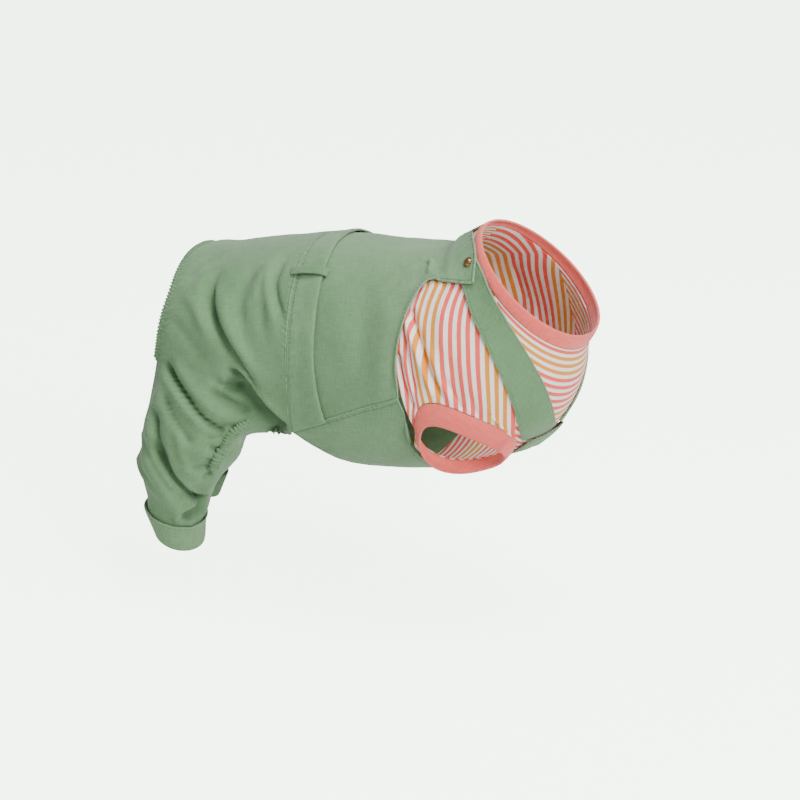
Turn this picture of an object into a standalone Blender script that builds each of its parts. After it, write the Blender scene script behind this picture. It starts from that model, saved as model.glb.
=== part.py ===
"""A jumpsuit for a small dog: green dungarees for the hind legs, over a striped shirt with short raglan sleeves.

Metres, +X towards the head, +Y to the wearer's left, +Z up. The origin is on the inner face of the back,
on the centre line at the waist, where the garment sits on the wearer.
Every panel lies on one surface, the worn form of the garment. A place on it is a station, which is a share of
BACK_LENGTH ahead of the waist, and an angle round the body: 0 on the back, 90 on the right flank, 180 under the belly.
"""

from math import cos, pi, radians, sin, tau

import bmesh
import bpy
import numpy as np
from mathutils import Vector

# Driving dimensions
BACK_LENGTH = 0.355
BODY_WIDTH = 0.160
BODY_DEPTH = 0.182
BODY_TURN = 0.6            # plan bend, radians per metre, towards the wearer's right at the head end
LEG_DROP = 0.160           # from the body's axis at the waist down to the trouser hems
LEG_WIDTH = 0.048          # across a trouser leg at the top of its cuff

CLOTH_WALL = 0.0013
KNIT_WALL = 0.0011
RIB_WALL = 0.0018
STRAP_WALL = 0.0016
LAYER_GAP = 0.0006         # between layers that lie on one another
SEAM_GAP = 0.0005          # between panels that meet at a seam

STRAP_WIDTH = 0.025
STRAP_END_SKEW = 0.9        # how far the strap's end slants, to follow the chest hem
STRAP_SKEW_FROM = 0.75      # share of its length where the slant begins
WAISTBAND_UNDERLAP = 0.006
CUFF_HEIGHT = 0.0195
CUFF_EASE = 0.0004         # how far the turn-up stands off the leg, past a layer gap
CUFF_WALL = 0.0020
SLEEVE_BAND = 0.0145
SLEEVE_BAND_START = 0.06    # share of the band that is left free beside the seam
SLEEVE_BAND_BULGE = 0.0010
SLEEVE_OPENING_SHARE = 0.84
NECK_BAND = 0.011
NECK_BAND_EASE = 0.0004
CHEST_HEM = 0.011
CHEST_HEM_OVERHANG = 0.004
CHEST_HEM_BEHIND = 0.55     # share of the hem that lies behind the belly panel's front edge
BELT_LOOP_WIDTH = 0.0068
BELT_LOOP_ANGLE = 39
BELT_LOOP_RISE = 0.0022
BELT_LOOP_PAST = (0.0040, 0.0035)  # how far it reaches behind the waistband and ahead of it
SNAP_DIAMETER = 0.0080
SNAP_HEIGHT = 0.0026
SNAP_STATION, SNAP_ANGLE = 0.560, 50
WELD = 0.00002             # points of one panel nearer than this are one point

# Layers, as the height of a panel's outer face above the worn form, which is near the bodice's outer face
SHIRT_FACE = -0.0022
BODICE_FACE = SHIRT_FACE + LAYER_GAP + CLOTH_WALL
STRAP_FACE = SHIRT_FACE + LAYER_GAP + STRAP_WALL
BAND_FACE = BODICE_FACE + LAYER_GAP + CLOTH_WALL
FLAP_FACE = STRAP_FACE + LAYER_GAP + CLOTH_WALL

# Worn form: station, axis x and z, lean of the section in degrees, half width, height above and below the axis,
# power of the rounded section. x is a share of BACK_LENGTH, half width of BODY_WIDTH, the rest of BODY_DEPTH.
FORM = (
    (-0.423, -0.417, 0.077, -8, 0.312, 0.262, 0.330, 2.2),
    (-0.352, -0.352, 0.050, -4, 0.412, 0.338, 0.385, 2.3),
    (-0.254, -0.254, 0.022, 0, 0.469, 0.391, 0.440, 2.3),
    (-0.141, -0.141, 0.011, 0, 0.494, 0.442, 0.472, 2.3),
    (0.000, 0.000, 0.000, 0, 0.500, 0.500, 0.494, 2.3),
    (0.141, 0.141, 0.000, 2, 0.512, 0.506, 0.488, 2.3),
    (0.254, 0.248, 0.022, 9, 0.519, 0.495, 0.474, 2.3),
    (0.338, 0.316, 0.071, 19, 0.512, 0.467, 0.480, 2.3),
    (0.423, 0.378, 0.159, 30, 0.481, 0.429, 0.484, 2.2),
    (0.507, 0.428, 0.275, 40, 0.412, 0.385, 0.412, 2.1),
    (0.578, 0.459, 0.385, 46, 0.362, 0.341, 0.341, 2.0),
    (0.625, 0.485, 0.450, 50, 0.350, 0.325, 0.322, 2.0),
)

# Side seam of the dungarees, from behind the waist to the armhole: station, angle
SIDE_SEAM = ((-0.040, 123), (0.056, 111), (0.149, 102), (0.248, 96))
# Armhole of the bodice, up from the side seam, then the lower edge of the shoulder flap: station, angle, and the
# station where the same row crosses the back
ARMHOLE = ((0.248, 96, 0.200), (0.256, 82, 0.235), (0.276, 69, 0.270), (0.318, 54, 0.310), (0.383, 42, 0.370),
           (0.428, 42, 0.405))
FLAP_EDGE = ((0.428, 42, 0.405), (0.496, 54, 0.418), (0.552, 66, 0.430))
# Front edge of the two shoulder flaps: share of the way from the nape's V notch to the flap's corner, station
FLAP_FRONT = ((0.0, 0.430), (0.06, 0.500), (0.2, 0.560), (0.45, 0.588), (0.75, 0.588), (1.0, 0.552))

# Belly panel: station and angle of its edge below the sleeve, from the side seam to the chest
BELLY_EDGE = ((0.248, 96), (0.256, 104), (0.250, 114), (0.242, 126), (0.246, 139), (0.268, 152), (0.310, 161),
              (0.362, 165), (0.410, 163))
BELLY_REAR_STATION = 0.080
CHEST_STATION = 0.428
FLAP_RISE = (0.44, 0.06)    # station where the bodice rises over the strap, and how far on it is up
BELLY_ROUND = 2.4           # power of the U that its ends are cut to

# Waistband: angle, station of its rear and front edge
WAISTBAND = ((0, -0.050, 0.013), (30, -0.042, 0.024), (70, -0.034, 0.034), (95, -0.031, 0.039), (123, -0.036, 0.060))

# Middle of a strap: station, angle
STRAP = ((0.545, 46), (0.549, 62), (0.540, 80), (0.531, 98), (0.514, 118), (0.491, 136), (0.461, 153), (0.435, 166))

# Shirt: where the sleeve is sewn round the foreleg, as station and angle with their radii, and the other seams
SLEEVE_STATION, SLEEVE_ANGLE = 0.344, 131
SLEEVE_RADIUS, SLEEVE_SPREAD, SLEEVE_SHEAR = 0.076, 28, 12
SLEEVE_AXIS = (0.02, -0.45, -0.89)
SHIRT_REAR = 0.205
SHIRT_NECK = 0.578
SHOULDER_SEAM = 24
SLEEVE_REAR_TURN, SLEEVE_FRONT_TURN = 190, 14
SHIRT_MIDDLE = 0.45         # station from which the shoulder seam's points lie closer
CHEST_ROUND = 1.6           # power of the curve that the chest panel's stripes follow
RAGLAN = ((0.414, 144), (0.448, 140), (0.500, 134), (0.578, 128))

# Pants: rear rim and hip line, as share of the way from the waistband to the rear, angle and station
SEAT_EDGE = ((0, -0.366), (36, -0.362), (54, -0.361), (78, -0.374), (106, -0.387))
HIP_LINE = ((0.0, 123), (0.2, 110), (0.5, 99), (0.8, 98), (1.0, 104))
# Inner rim of a trouser leg from the rear to the front: shares of BACK_LENGTH, BODY_WIDTH and BODY_DEPTH
INNER_RIM = ((-0.360, -0.260, -0.215), (-0.310, -0.155, -0.290), (-0.225, -0.150, -0.320), (-0.130, -0.270, -0.318))
# Sections of each trouser leg: middle as shares of BACK_LENGTH, BODY_WIDTH and LEG_DROP, half length and half width
# as shares of LEG_WIDTH, and degrees that the front hangs and the outer side hangs lower
RIGHT_LEG = (
    (-0.289, -0.362, -0.375, 0.955, 0.670, 5, 4),
    (-0.307, -0.362, -0.500, 0.865, 0.625, 8, 5),
    (-0.338, -0.362, -0.612, 0.750, 0.585, 12, 8),
    (-0.346, -0.362, -0.719, 0.635, 0.545, 16, 12),
    (-0.347, -0.362, -0.800, 0.560, 0.520, 19, 14),
    (-0.352, -0.362, -0.862, 0.500, 0.500, 19, 14),
    (-0.343, -0.362, -0.968, 0.410, 0.410, 18, 14),
)
LEFT_LEG = (
    (-0.335, -0.362, -0.375, 0.760, 0.670, 5, 4),
    (-0.370, -0.362, -0.500, 0.620, 0.625, 8, 5),
    (-0.398, -0.362, -0.612, 0.530, 0.585, 14, 6),
    (-0.412, -0.362, -0.719, 0.510, 0.545, 20, 6),
    (-0.422, -0.362, -0.800, 0.490, 0.520, 24, 6),
    (-0.428, -0.362, -0.856, 0.470, 0.500, 25, 6),
    (-0.440, -0.362, -0.980, 0.410, 0.410, 25, 6),
)
# Drag folds round a leg: angle round the leg and height down it at each end, height of the fold, its half width.
# Angles run from the front (0) over the outer side (90) to the rear (180); heights run from the hip (0) to the hem (1).
LEG_FOLDS = (
    (150, 0.12, 60, 0.52, 0.0036, 0.060),
    (160, 0.38, 70, 0.74, 0.0032, 0.050),
    (120, 0.16, 40, 0.40, 0.0030, 0.045),
    (160, 0.60, 40, 0.84, 0.0028, 0.045),
    (100, 0.40, 15, 0.60, 0.0024, 0.040),
    (60, 0.05, 5, 0.12, -0.0060, 0.055),
)
INSEAM_TURN = -28          # where the ruched inner seam runs down the leg, in degrees from the front
# Folds across the seat and flank: station and angle at each end, height, half width along the body
SEAT_FOLDS = (
    (-0.238, 50, -0.105, 106, 0.0030, 0.022),
    (-0.280, 46, -0.165, 104, -0.0042, 0.024),
    (-0.150, 36, -0.105, 78, -0.0020, 0.020),
    (-0.072, 30, -0.066, 72, -0.0012, 0.014),
)
RIM_GATHER = 0.0008        # height of the gathers at the elastic rim

# How many quads each panel is laid with
BODICE_COLUMNS, FLAP_ROWS = 24, 5
BELLY_COLUMNS = 16
WAIST_COLUMNS = 26
CHEST_COLUMNS = 12

GREEN = (0.215, 0.335, 0.205, 1.0)
STRIPE = (0.85, 0.52, 0.42, 1.0)
CORAL = (0.87, 0.27, 0.24, 1.0)
BRASS = (0.35, 0.25, 0.14, 1.0)


# Curves through a short table

def along(rows, way):
    """The rows' values at a share of the way through them, on a smooth curve through every row."""
    rows = np.array(rows, float)
    last = len(rows) - 1
    place = min(max(way, 0.0), 1.0) * last
    i = min(int(place), last - 1)
    t = place - i
    slopes = np.gradient(rows, axis=0)
    return ((2 * t**3 - 3 * t**2 + 1) * rows[i] + (t**3 - 2 * t**2 + t) * slopes[i]
            + (3 * t**2 - 2 * t**3) * rows[i + 1] + (t**3 - t**2) * slopes[i + 1])


def even(rows):
    """A table that starts at 0, carried on below 0 as its mirror image, so that its curve is level there."""
    return ((-rows[1][0],) + tuple(rows[1][1:]),) + tuple(rows)


def at(rows, key):
    """The values of a table at one value of its first column, on a smooth curve through every row."""
    keys = np.array([row[0] for row in rows], float)
    values = np.array([row[1:] for row in rows], float)
    slopes = np.gradient(values, keys, axis=0)
    key = min(max(key, keys[0]), keys[-1])
    i = min(int(np.searchsorted(keys, key, side="right")) - 1, len(keys) - 2)
    span = keys[i + 1] - keys[i]
    t = (key - keys[i]) / span
    return ((2 * t**3 - 3 * t**2 + 1) * values[i] + (t**3 - 2 * t**2 + t) * span * slopes[i]
            + (3 * t**2 - 2 * t**3) * values[i + 1] + (t**3 - t**2) * span * slopes[i + 1])


def joined(curves, counts):
    """Rows read off several curves end to end, with a corner where they meet."""
    rows = [along(curves[0], 0.0)]
    for curve, count in zip(curves, counts):
        rows += [along(curve, (k + 1) / count) for k in range(count)]
    return np.array(rows)


def smooth(t):
    t = min(max(t, 0.0), 1.0)
    return t * t * (3 - 2 * t)


# The worn form

def upright(station, angle, lift):
    """A point before the body's plan bend and before the origin is moved to the back."""
    x, z, lean, half_width, up, down, power = at(FORM, station)
    a = radians(angle)
    side = (half_width * BODY_WIDTH + lift) * np.sign(sin(a)) * abs(sin(a)) ** (2 / power)
    reach = (up if cos(a) > 0 else down) * BODY_DEPTH + lift
    height = reach * np.sign(cos(a)) * abs(cos(a)) ** (2 / power)
    lean = radians(lean)
    return np.array((x * BACK_LENGTH - sin(lean) * height, -side, z * BODY_DEPTH + cos(lean) * height))


SEAT_HEIGHT = upright(0, 0, BODICE_FACE - CLOTH_WALL)[2]


def placed(point):
    """A point of the upright form, bent in plan and moved to the garment's own origin."""
    x, y, z = point
    turn = BODY_TURN * x
    return np.array((sin(turn) / BODY_TURN + y * sin(turn), (cos(turn) - 1) / BODY_TURN + y * cos(turn),
                     z - SEAT_HEIGHT))


def form(station, angle, lift=0.0):
    return placed(upright(station, angle, lift))


def arc(length):
    """Degrees round the body that a length spans at the flank."""
    return length / (BODY_WIDTH / 2) * 180 / pi


def share(length):
    return length / BACK_LENGTH


# Building solids

def material(name, colour, roughness, metallic=0.0):
    made = bpy.data.materials.new(name)
    made.use_nodes = True
    shader = made.node_tree.nodes["Principled BSDF"]
    shader.inputs["Base Color"].default_value = colour
    shader.inputs["Roughness"].default_value = roughness
    shader.inputs["Metallic"].default_value = metallic
    return made


def add_grid(mesh, points):
    """A grid of quads through a table of points, rows by columns."""
    points = np.asarray(points)
    rows, columns = points.shape[:2]
    made = bmesh.ops.create_grid(mesh, x_segments=columns - 1, y_segments=rows - 1, size=0.5)
    for vert, point in zip(made["verts"], points.reshape(-1, 3)):
        vert.co = point
    return made["verts"]


def finish(name, mesh, colour, roughness, metallic=0.0):
    data = bpy.data.meshes.new(name)
    mesh.to_mesh(data)
    mesh.free()
    made = bpy.data.objects.new(name, data)
    bpy.context.scene.collection.objects.link(made)
    data.materials.append(material(name, colour, roughness, metallic))
    data.shade_smooth()
    return made


def sheet(name, grids, wall, colour, roughness, inside):
    """Cloth of one wall thickness inwards from the grids, which are its outer face."""
    mesh = bmesh.new()
    for points in grids:
        add_grid(mesh, points)
    bmesh.ops.remove_doubles(mesh, verts=mesh.verts[:], dist=WELD)
    bmesh.ops.recalc_face_normals(mesh, faces=mesh.faces[:])
    mesh.normal_update()
    outward = sum(face.normal.dot(face.calc_center_median() - inside) * face.calc_area() for face in mesh.faces)
    if outward < 0:
        bmesh.ops.reverse_faces(mesh, faces=mesh.faces[:])
    made = finish(name, mesh, colour, roughness)
    thicken = made.modifiers.new("wall", "SOLIDIFY")
    thicken.thickness = wall
    thicken.offset = -1
    return made


def swept(name, rings, colour, roughness, closed_rings=True, metallic=0.0):
    """A solid from closed profiles, one after another; the profiles themselves close up, or get end caps."""
    rings = np.asarray(rings)
    count, corners = rings.shape[:2]
    mesh = bmesh.new()
    verts = [[mesh.verts.new(point) for point in ring] for ring in rings]
    for i in range(count if closed_rings else count - 1):
        here, after = verts[i], verts[(i + 1) % count]
        for j in range(corners):
            k = (j + 1) % corners
            mesh.faces.new((here[j], here[k], after[k], after[j]))
    if not closed_rings:
        mesh.faces.new(verts[0])
        mesh.faces.new(verts[-1])
    bmesh.ops.recalc_face_normals(mesh, faces=mesh.faces[:])
    return finish(name, mesh, colour, roughness, metallic)


SIDES = (("right", 1), ("left", -1))


def body_middle():
    return Vector(placed((0.1 * BACK_LENGTH, 0, 0)))


# Dungarees: back, belly and waist

def bodice():
    seam_clear = arc(SEAM_GAP / 2)
    side = [(s, a - seam_clear, s) for s, a in SIDE_SEAM]
    waist = share(-WAISTBAND_UNDERLAP)
    seam_rows = []
    for k in range(7):
        station = waist + (side[-1][0] - waist) * k / 6
        centre = waist + (ARMHOLE[0][2] - waist) * k / 6
        seam_rows.append((station, at(side, station)[0], centre))
    edge = list(seam_rows) + list(joined((ARMHOLE, FLAP_EDGE), (8, 4)))[1:]
    rows = []
    for i, (station, angle, centre) in enumerate(edge):
        flap = smooth((i - (len(edge) - 1 - FLAP_ROWS)) / FLAP_ROWS)
        row = []
        for j in range(BODICE_COLUMNS + 1):
            v = 2 * j / BODICE_COLUMNS - 1
            straight = centre + (station - centre) * v * v
            front = at(FLAP_FRONT, abs(v))[0]
            front += (station - FLAP_FRONT[-1][1]) * abs(v)
            here = straight + (front - straight) * flap**2 if flap > 0 else straight
            lift = BODICE_FACE + (FLAP_FACE - BODICE_FACE) * smooth((here - FLAP_RISE[0]) / FLAP_RISE[1])
            row.append(form(here, angle * v, lift))
        rows.append(row)
    return sheet("bodice", [rows], CLOTH_WALL, GREEN, 0.85, body_middle())


def belly_panel():
    seam_clear = arc(SEAM_GAP / 2)
    seam = [(s, a + seam_clear) for s, a in SIDE_SEAM]
    start = [(seam[-1][0], seam[-1][1])]
    edge = joined((seam, start + list(BELLY_EDGE[1:])), (5, 10))
    rows = []
    for i, (station, angle) in enumerate(edge):
        t = i / (len(edge) - 1)
        centre = BELLY_REAR_STATION + (CHEST_STATION - BELLY_REAR_STATION) * t
        row = []
        for j in range(BELLY_COLUMNS + 1):
            v = 2 * j / BELLY_COLUMNS - 1
            here = centre + (station - centre) * abs(v) ** BELLY_ROUND
            row.append(form(here, 180 + (180 - angle) * v, BODICE_FACE))
        rows.append(row)
    return sheet("belly_panel", [rows], CLOTH_WALL, GREEN, 0.85, body_middle())


def waistband():
    end = WAISTBAND[-1][0] - arc(SEAM_GAP / 2)
    rows = []
    for k in range(3):
        row = []
        for j in range(WAIST_COLUMNS + 1):
            v = 2 * j / WAIST_COLUMNS - 1
            rear, front = at(even(WAISTBAND), abs(v) * end)
            station = rear + (front - rear) * k / 2
            limit = at(SIDE_SEAM, station)[0] - arc(SEAM_GAP / 2)
            row.append(form(station, limit * v, BAND_FACE))
        rows.append(row)
    return sheet("waistband", [rows], CLOTH_WALL, GREEN, 0.85, body_middle())


def belt_loop(name, side):
    """A strip over the waistband, fastened behind it and at its front fold."""
    angle = BELT_LOOP_ANGLE * side
    half = arc(BELT_LOOP_WIDTH / 2)
    rear, front = at(even(WAISTBAND), BELT_LOOP_ANGLE)
    rear -= share(BELT_LOOP_PAST[0])
    front += share(BELT_LOOP_PAST[1])
    foot = BAND_FACE + LAYER_GAP
    rings = []
    steps = 10
    for k in range(steps + 1):
        t = k / steps
        station = rear + (front - rear) * t
        low = foot + BELT_LOOP_RISE * sin(pi * t) ** 0.6
        if t > 0.95:
            low = foot - LAYER_GAP
        high = low + CLOTH_WALL
        rings.append([form(station, angle - half, low), form(station, angle + half, low),
                      form(station, angle + half, high), form(station, angle - half, high)])
    return swept(name, rings, GREEN, 0.85, closed_rings=False)


# Pants

def leg_ring(section, side, angles):
    """Points round one section of a trouser leg, at angles from the front over the outer side."""
    x, y, z, half_length, half_width, dip, droop = section
    middle = np.array((x * BACK_LENGTH, y * BODY_WIDTH, z * LEG_DROP))
    dip, droop = radians(dip), radians(droop)
    ahead = np.array((cos(dip), 0, -sin(dip)))
    out = np.array((0, -cos(droop), -sin(droop)))
    points = [middle + half_length * LEG_WIDTH * cos(a) * ahead + half_width * LEG_WIDTH * sin(a) * out
              for a in angles]
    return np.array([(p[0], p[1] * side, p[2]) for p in points])


def seat_vertex(step, v, above=0):
    """A point of the seat's outer face: step from the waistband (0) to the rear rim, v from -1 to 1 over the back."""
    way = step / SEAT_STEPS
    angle = at(HIP_LINE, way)[0] * v
    if step == 0:
        angle -= arc(SEAM_GAP / 2) * v
    front = at(even(WAISTBAND), abs(angle))[0] - share(SEAM_GAP)
    rear = at(even(SEAT_EDGE), abs(angle))[0]
    station = front + (rear - front) * way
    ruched = RIM_GATHER * smooth((abs(angle) - 24) / 20) * smooth((way - 0.8) / 0.2)
    ruched *= 1 if round((v + 1) / 2 * ACROSS_SEAT) % 2 else -1
    lift = BAND_FACE + seat_fold(station, angle) * smooth(way / 0.15) * smooth((1 - way) / 0.1) + ruched
    return upright(station, angle - above * v, lift)


def seat_fold(station, angle):
    rise = 0.0
    for s0, a0, s1, a1, height, half in SEAT_FOLDS:
        t = (abs(angle) - a0) / (a1 - a0)
        middle = s0 + (s1 - s0) * t
        fade = smooth((t + 0.3) / 0.4) * smooth((1.3 - t) / 0.4)
        rise += height * fade * np.exp(-((station - middle) / half) ** 2)
    return rise


def leg_fold(round_angle, down):
    rise = 0.0
    for a0, d0, a1, d1, height, half in LEG_FOLDS:
        across = np.array(((a1 - a0) / 180, d1 - d0))
        place = np.array(((round_angle - a0) / 180, down - d0))
        t = place @ across / (across @ across)
        away = np.linalg.norm(place - across * min(max(t, 0), 1))
        rise += height * np.exp(-((away / half) ** 2))
    return rise


SEAT_STEPS = 11
ACROSS_SEAT = 20
LEG_STEPS = (3, 2, 2, 2, 1, 1, 1)


def leg_surface(side, sections):
    """Outer face of a trouser leg: a row of points for each height, from the hip line down to the hem."""
    hip = np.array([seat_vertex(k, side) for k in range(SEAT_STEPS + 1)])
    above = np.array([seat_vertex(k, side, above=14) for k in range(SEAT_STEPS + 1)])
    rim = [(x * BACK_LENGTH, y * BODY_WIDTH * side, z * BODY_DEPTH) for x, y, z in INNER_RIM]
    rim = [hip[-1]] + rim + [hip[0]]
    inner = [along(rim, k / SEAT_STEPS) for k in range(1, SEAT_STEPS)]
    root = np.vstack((hip, inner))
    angles = [pi * k / SEAT_STEPS for k in range(2 * SEAT_STEPS)]
    rings = [root] + [leg_ring(section, side, angles) for section in sections]
    before = 2 * rings[0] - rings[1]
    before[:SEAT_STEPS + 1] = above
    rings = [before] + rings + [2 * rings[-1] - rings[-2]]
    rows = [root]
    total = sum(LEG_STEPS)
    done = 0
    for k, steps in enumerate(LEG_STEPS):
        p0, p1, p2, p3 = rings[k:k + 4]
        for step in range(1, steps + 1):
            t = step / steps
            done += 1
            row = 0.5 * (2 * p1 + (p2 - p0) * t + (2 * p0 - 5 * p1 + 4 * p2 - p3) * t**2
                         + (3 * p1 - p0 - 3 * p2 + p3) * t**3)
            middle = row.mean(axis=0)
            fade = smooth(done / total / 0.12) * smooth((1 - done / total) / 0.15)
            for j, a in enumerate(angles):
                away = row[j] - middle
                away = away / np.linalg.norm(away)
                turn = a * 180 / pi
                ruched = RIM_GATHER * (-1) ** done * np.exp(-((turn - 360 - INSEAM_TURN) / 16) ** 2)
                row[j] += away * (leg_fold(turn, done / total) + ruched) * fade
            rows.append(row)
    return np.array(rows)


def closed_grid(rows):
    rows = np.asarray(rows)
    return np.concatenate((rows, rows[:, :1]), axis=1)


def pants():
    seat = [[placed(seat_vertex(k, 2 * j / ACROSS_SEAT - 1)) for j in range(ACROSS_SEAT + 1)]
            for k in range(SEAT_STEPS + 1)]
    legs = []
    for (name, side), sections in zip(SIDES, (RIGHT_LEG, LEFT_LEG)):
        rows = leg_surface(side, sections)
        legs.append(closed_grid([[placed(p) for p in row] for row in rows]))
    return sheet("pants", [seat] + legs, CLOTH_WALL, GREEN, 0.85, body_middle())


def cuff(name, side, sections):
    """A turned-up hem: an outer layer round the leg's end, folded in under it at the bottom."""
    rows = leg_surface(side, sections)[-4:]
    hem = rows[-1]
    middle = hem.mean(axis=0)
    top_middle = rows[0].mean(axis=0)
    up = top_middle - middle
    up = up / np.linalg.norm(up)
    rings = []
    for j in range(hem.shape[0]):
        low = hem[j]
        out = low - middle
        out = out - up * (out @ up)
        out = out / np.linalg.norm(out)
        line = rows[:, j]
        heights = (line - low) @ up
        reach = (line - low) @ out
        spread = np.interp(CUFF_HEIGHT, heights[::-1], reach[::-1])
        gap = LAYER_GAP + CUFF_EASE
        foot = low - up * (LAYER_GAP + CUFF_WALL)
        top = low + up * CUFF_HEIGHT + out * spread
        mid_reach = np.interp(CUFF_HEIGHT / 2, heights[::-1], reach[::-1])
        middle_point = low + up * CUFF_HEIGHT / 2 + out * mid_reach
        rings.append([placed(p) for p in (
            top + out * (gap + CUFF_WALL),
            middle_point + out * (gap + CUFF_WALL),
            foot + out * (gap + CUFF_WALL),
            foot - out * CLOTH_WALL,
            foot - out * CLOTH_WALL + up * CUFF_WALL,
            foot + out * gap + up * CUFF_WALL,
            middle_point + out * gap,
            top + out * gap)])
    return swept(name, rings, GREEN, 0.85)


# Straps and chest

def strap(name, side):
    length = 22
    rows = []
    path = np.array([along(STRAP, k / length) for k in range(length + 1)])
    for k in range(length + 1):
        station, angle = path[k]
        ahead = path[min(k + 1, length)] - path[max(k - 1, 0)]
        run = np.array((ahead[0] * BACK_LENGTH, radians(ahead[1]) * BODY_WIDTH / 2 * 0.9))
        run = run / np.linalg.norm(run)
        skew = STRAP_END_SKEW * smooth((k / length - STRAP_SKEW_FROM) / (1 - STRAP_SKEW_FROM))
        row = []
        for j in range(4):
            off = STRAP_WIDTH * (j / 3 - 0.5)
            ahead = run[1] * off + run[0] * off * skew
            down = run[1] * off * skew - run[0] * off
            row.append(form(station + share(ahead), (angle + arc(down)) * side, STRAP_FACE))
        rows.append(row)
    return sheet(name, [rows], STRAP_WALL, GREEN, 0.85, body_middle())


def chest_hem():
    """The band across the front end of the belly panel, over the ends of both straps."""
    rows = []
    side_station, side_angle = BELLY_EDGE[-1]
    half = 180 - side_angle + arc(CHEST_HEM_OVERHANG)
    for k in range(3):
        row = []
        for j in range(11):
            v = 2 * j / 10 - 1
            edge = CHEST_STATION + (side_station - CHEST_STATION) * abs(v) ** BELLY_ROUND
            row.append(form(edge + share(CHEST_HEM * (k / 2 - CHEST_HEM_BEHIND)), 180 + half * v, FLAP_FACE))
        rows.append(row)
    return sheet("chest_hem", [rows], CLOTH_WALL, GREEN, 0.85, body_middle())


# Shirt

def sleeve_seam(turn):
    """Station and angle where the sleeve is sewn on, turn 0 at the front, 90 on the belly side, 180 at the rear."""
    a = radians(turn)
    return np.array((SLEEVE_STATION + SLEEVE_RADIUS * cos(a),
                     SLEEVE_ANGLE + SLEEVE_SPREAD * sin(a) + SLEEVE_SHEAR * cos(a)))


def sleeve_loops(side, turns):
    """The sewn loop on the worn form, and the sleeve's opening, as points of the upright form."""
    sewn = np.array([upright(*sleeve_seam(turn), SHIRT_FACE) for turn in turns])
    middle = np.mean([upright(*sleeve_seam(turn), SHIRT_FACE) for turn in range(0, 360, 15)], axis=0)
    drop = np.array(SLEEVE_AXIS) * SLEEVE_BAND
    opening = middle + (sewn - middle) * SLEEVE_OPENING_SHARE + drop
    flip = np.array((1, side, 1))
    return sewn * flip, opening * flip


def shirt_sleeve(name, side):
    clear = arc(SEAM_GAP / 2)
    turns = np.linspace(SLEEVE_REAR_TURN, SLEEVE_FRONT_TURN + 360, 14)
    lower = [sleeve_seam(turn) for turn in turns]
    lower += [along(RAGLAN, k / 6) for k in range(1, 7)]
    lower = np.array([(s, a - clear) for s, a in lower])
    upper = []
    for k in range(14):
        upper.append((SHIRT_REAR + (SHIRT_MIDDLE - SHIRT_REAR) * k / 13, SHOULDER_SEAM + clear))
    for k in range(1, 7):
        upper.append((SHIRT_MIDDLE + (SHIRT_NECK - SHIRT_MIDDLE) * k / 6, SHOULDER_SEAM + clear))
    rows = []
    for k in range(len(lower)):
        row = []
        for j in range(9):
            v = j / 8
            station, angle = lower[k] + (np.array(upper[k]) - lower[k]) * v
            row.append(form(station, angle * side, SHIRT_FACE))
        rows.append(row)
    return sheet(name, [rows], KNIT_WALL, STRIPE, 0.9, body_middle())


def shirt_chest():
    clear = arc(SEAM_GAP / 2)
    turns = np.linspace(SLEEVE_REAR_TURN, SLEEVE_FRONT_TURN, 13)
    edge = [sleeve_seam(turn) for turn in turns]
    edge += [along(RAGLAN, k / 6) for k in range(1, 7)]
    edge = np.array([(s, a + clear) for s, a in edge])
    rows = []
    for k, (station, angle) in enumerate(edge):
        centre = SHIRT_REAR + (SHIRT_NECK - SHIRT_REAR) * k / (len(edge) - 1)
        row = []
        for j in range(CHEST_COLUMNS + 1):
            v = 2 * j / CHEST_COLUMNS - 1
            here = centre + (station - centre) * abs(v) ** CHEST_ROUND
            row.append(form(here, 180 + (180 - angle) * v, SHIRT_FACE))
        rows.append(row)
    return sheet("shirt_chest", [rows], KNIT_WALL, STRIPE, 0.9, body_middle())


def shirt_back():
    clear = arc(SEAM_GAP / 2)
    rows = []
    for k in range(11):
        station = SHIRT_REAR + (SHIRT_NECK - SHIRT_REAR) * k / 10
        rows.append([form(station, (SHOULDER_SEAM - clear) * (2 * j / 6 - 1), SHIRT_FACE) for j in range(7)])
    return sheet("shirt_back", [rows], KNIT_WALL, STRIPE, 0.9, body_middle())


def sleeve_band(name, side):
    turns = np.arange(0, 360, 18)
    sewn, opening = sleeve_loops(side, turns)
    grid = []
    for k in range(4):
        t = SLEEVE_BAND_START + (1 - SLEEVE_BAND_START) * k / 3
        bulge = SLEEVE_BAND_BULGE * sin(pi * t)
        middle = sewn.mean(axis=0) * (1 - t) + opening.mean(axis=0) * t
        row = sewn * (1 - t) + opening * t
        away = row - middle
        away = away / np.linalg.norm(away, axis=1)[:, None]
        grid.append([placed(p) for p in row + away * bulge])
    inside = Vector(placed((sewn.mean(axis=0) + opening.mean(axis=0)) / 2))
    return sheet(name, [closed_grid(grid)], RIB_WALL, CORAL, 0.9, inside)


def neck_band():
    rows = []
    for k in range(2):
        station = SHIRT_NECK + share(SEAM_GAP + NECK_BAND * k)
        rows.append([form(station, 360 * j / 30, SHIRT_FACE + NECK_BAND_EASE) for j in range(30)])
    return sheet("neck_band", [closed_grid(rows)], RIB_WALL, CORAL, 0.9, body_middle())


# Snaps

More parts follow.
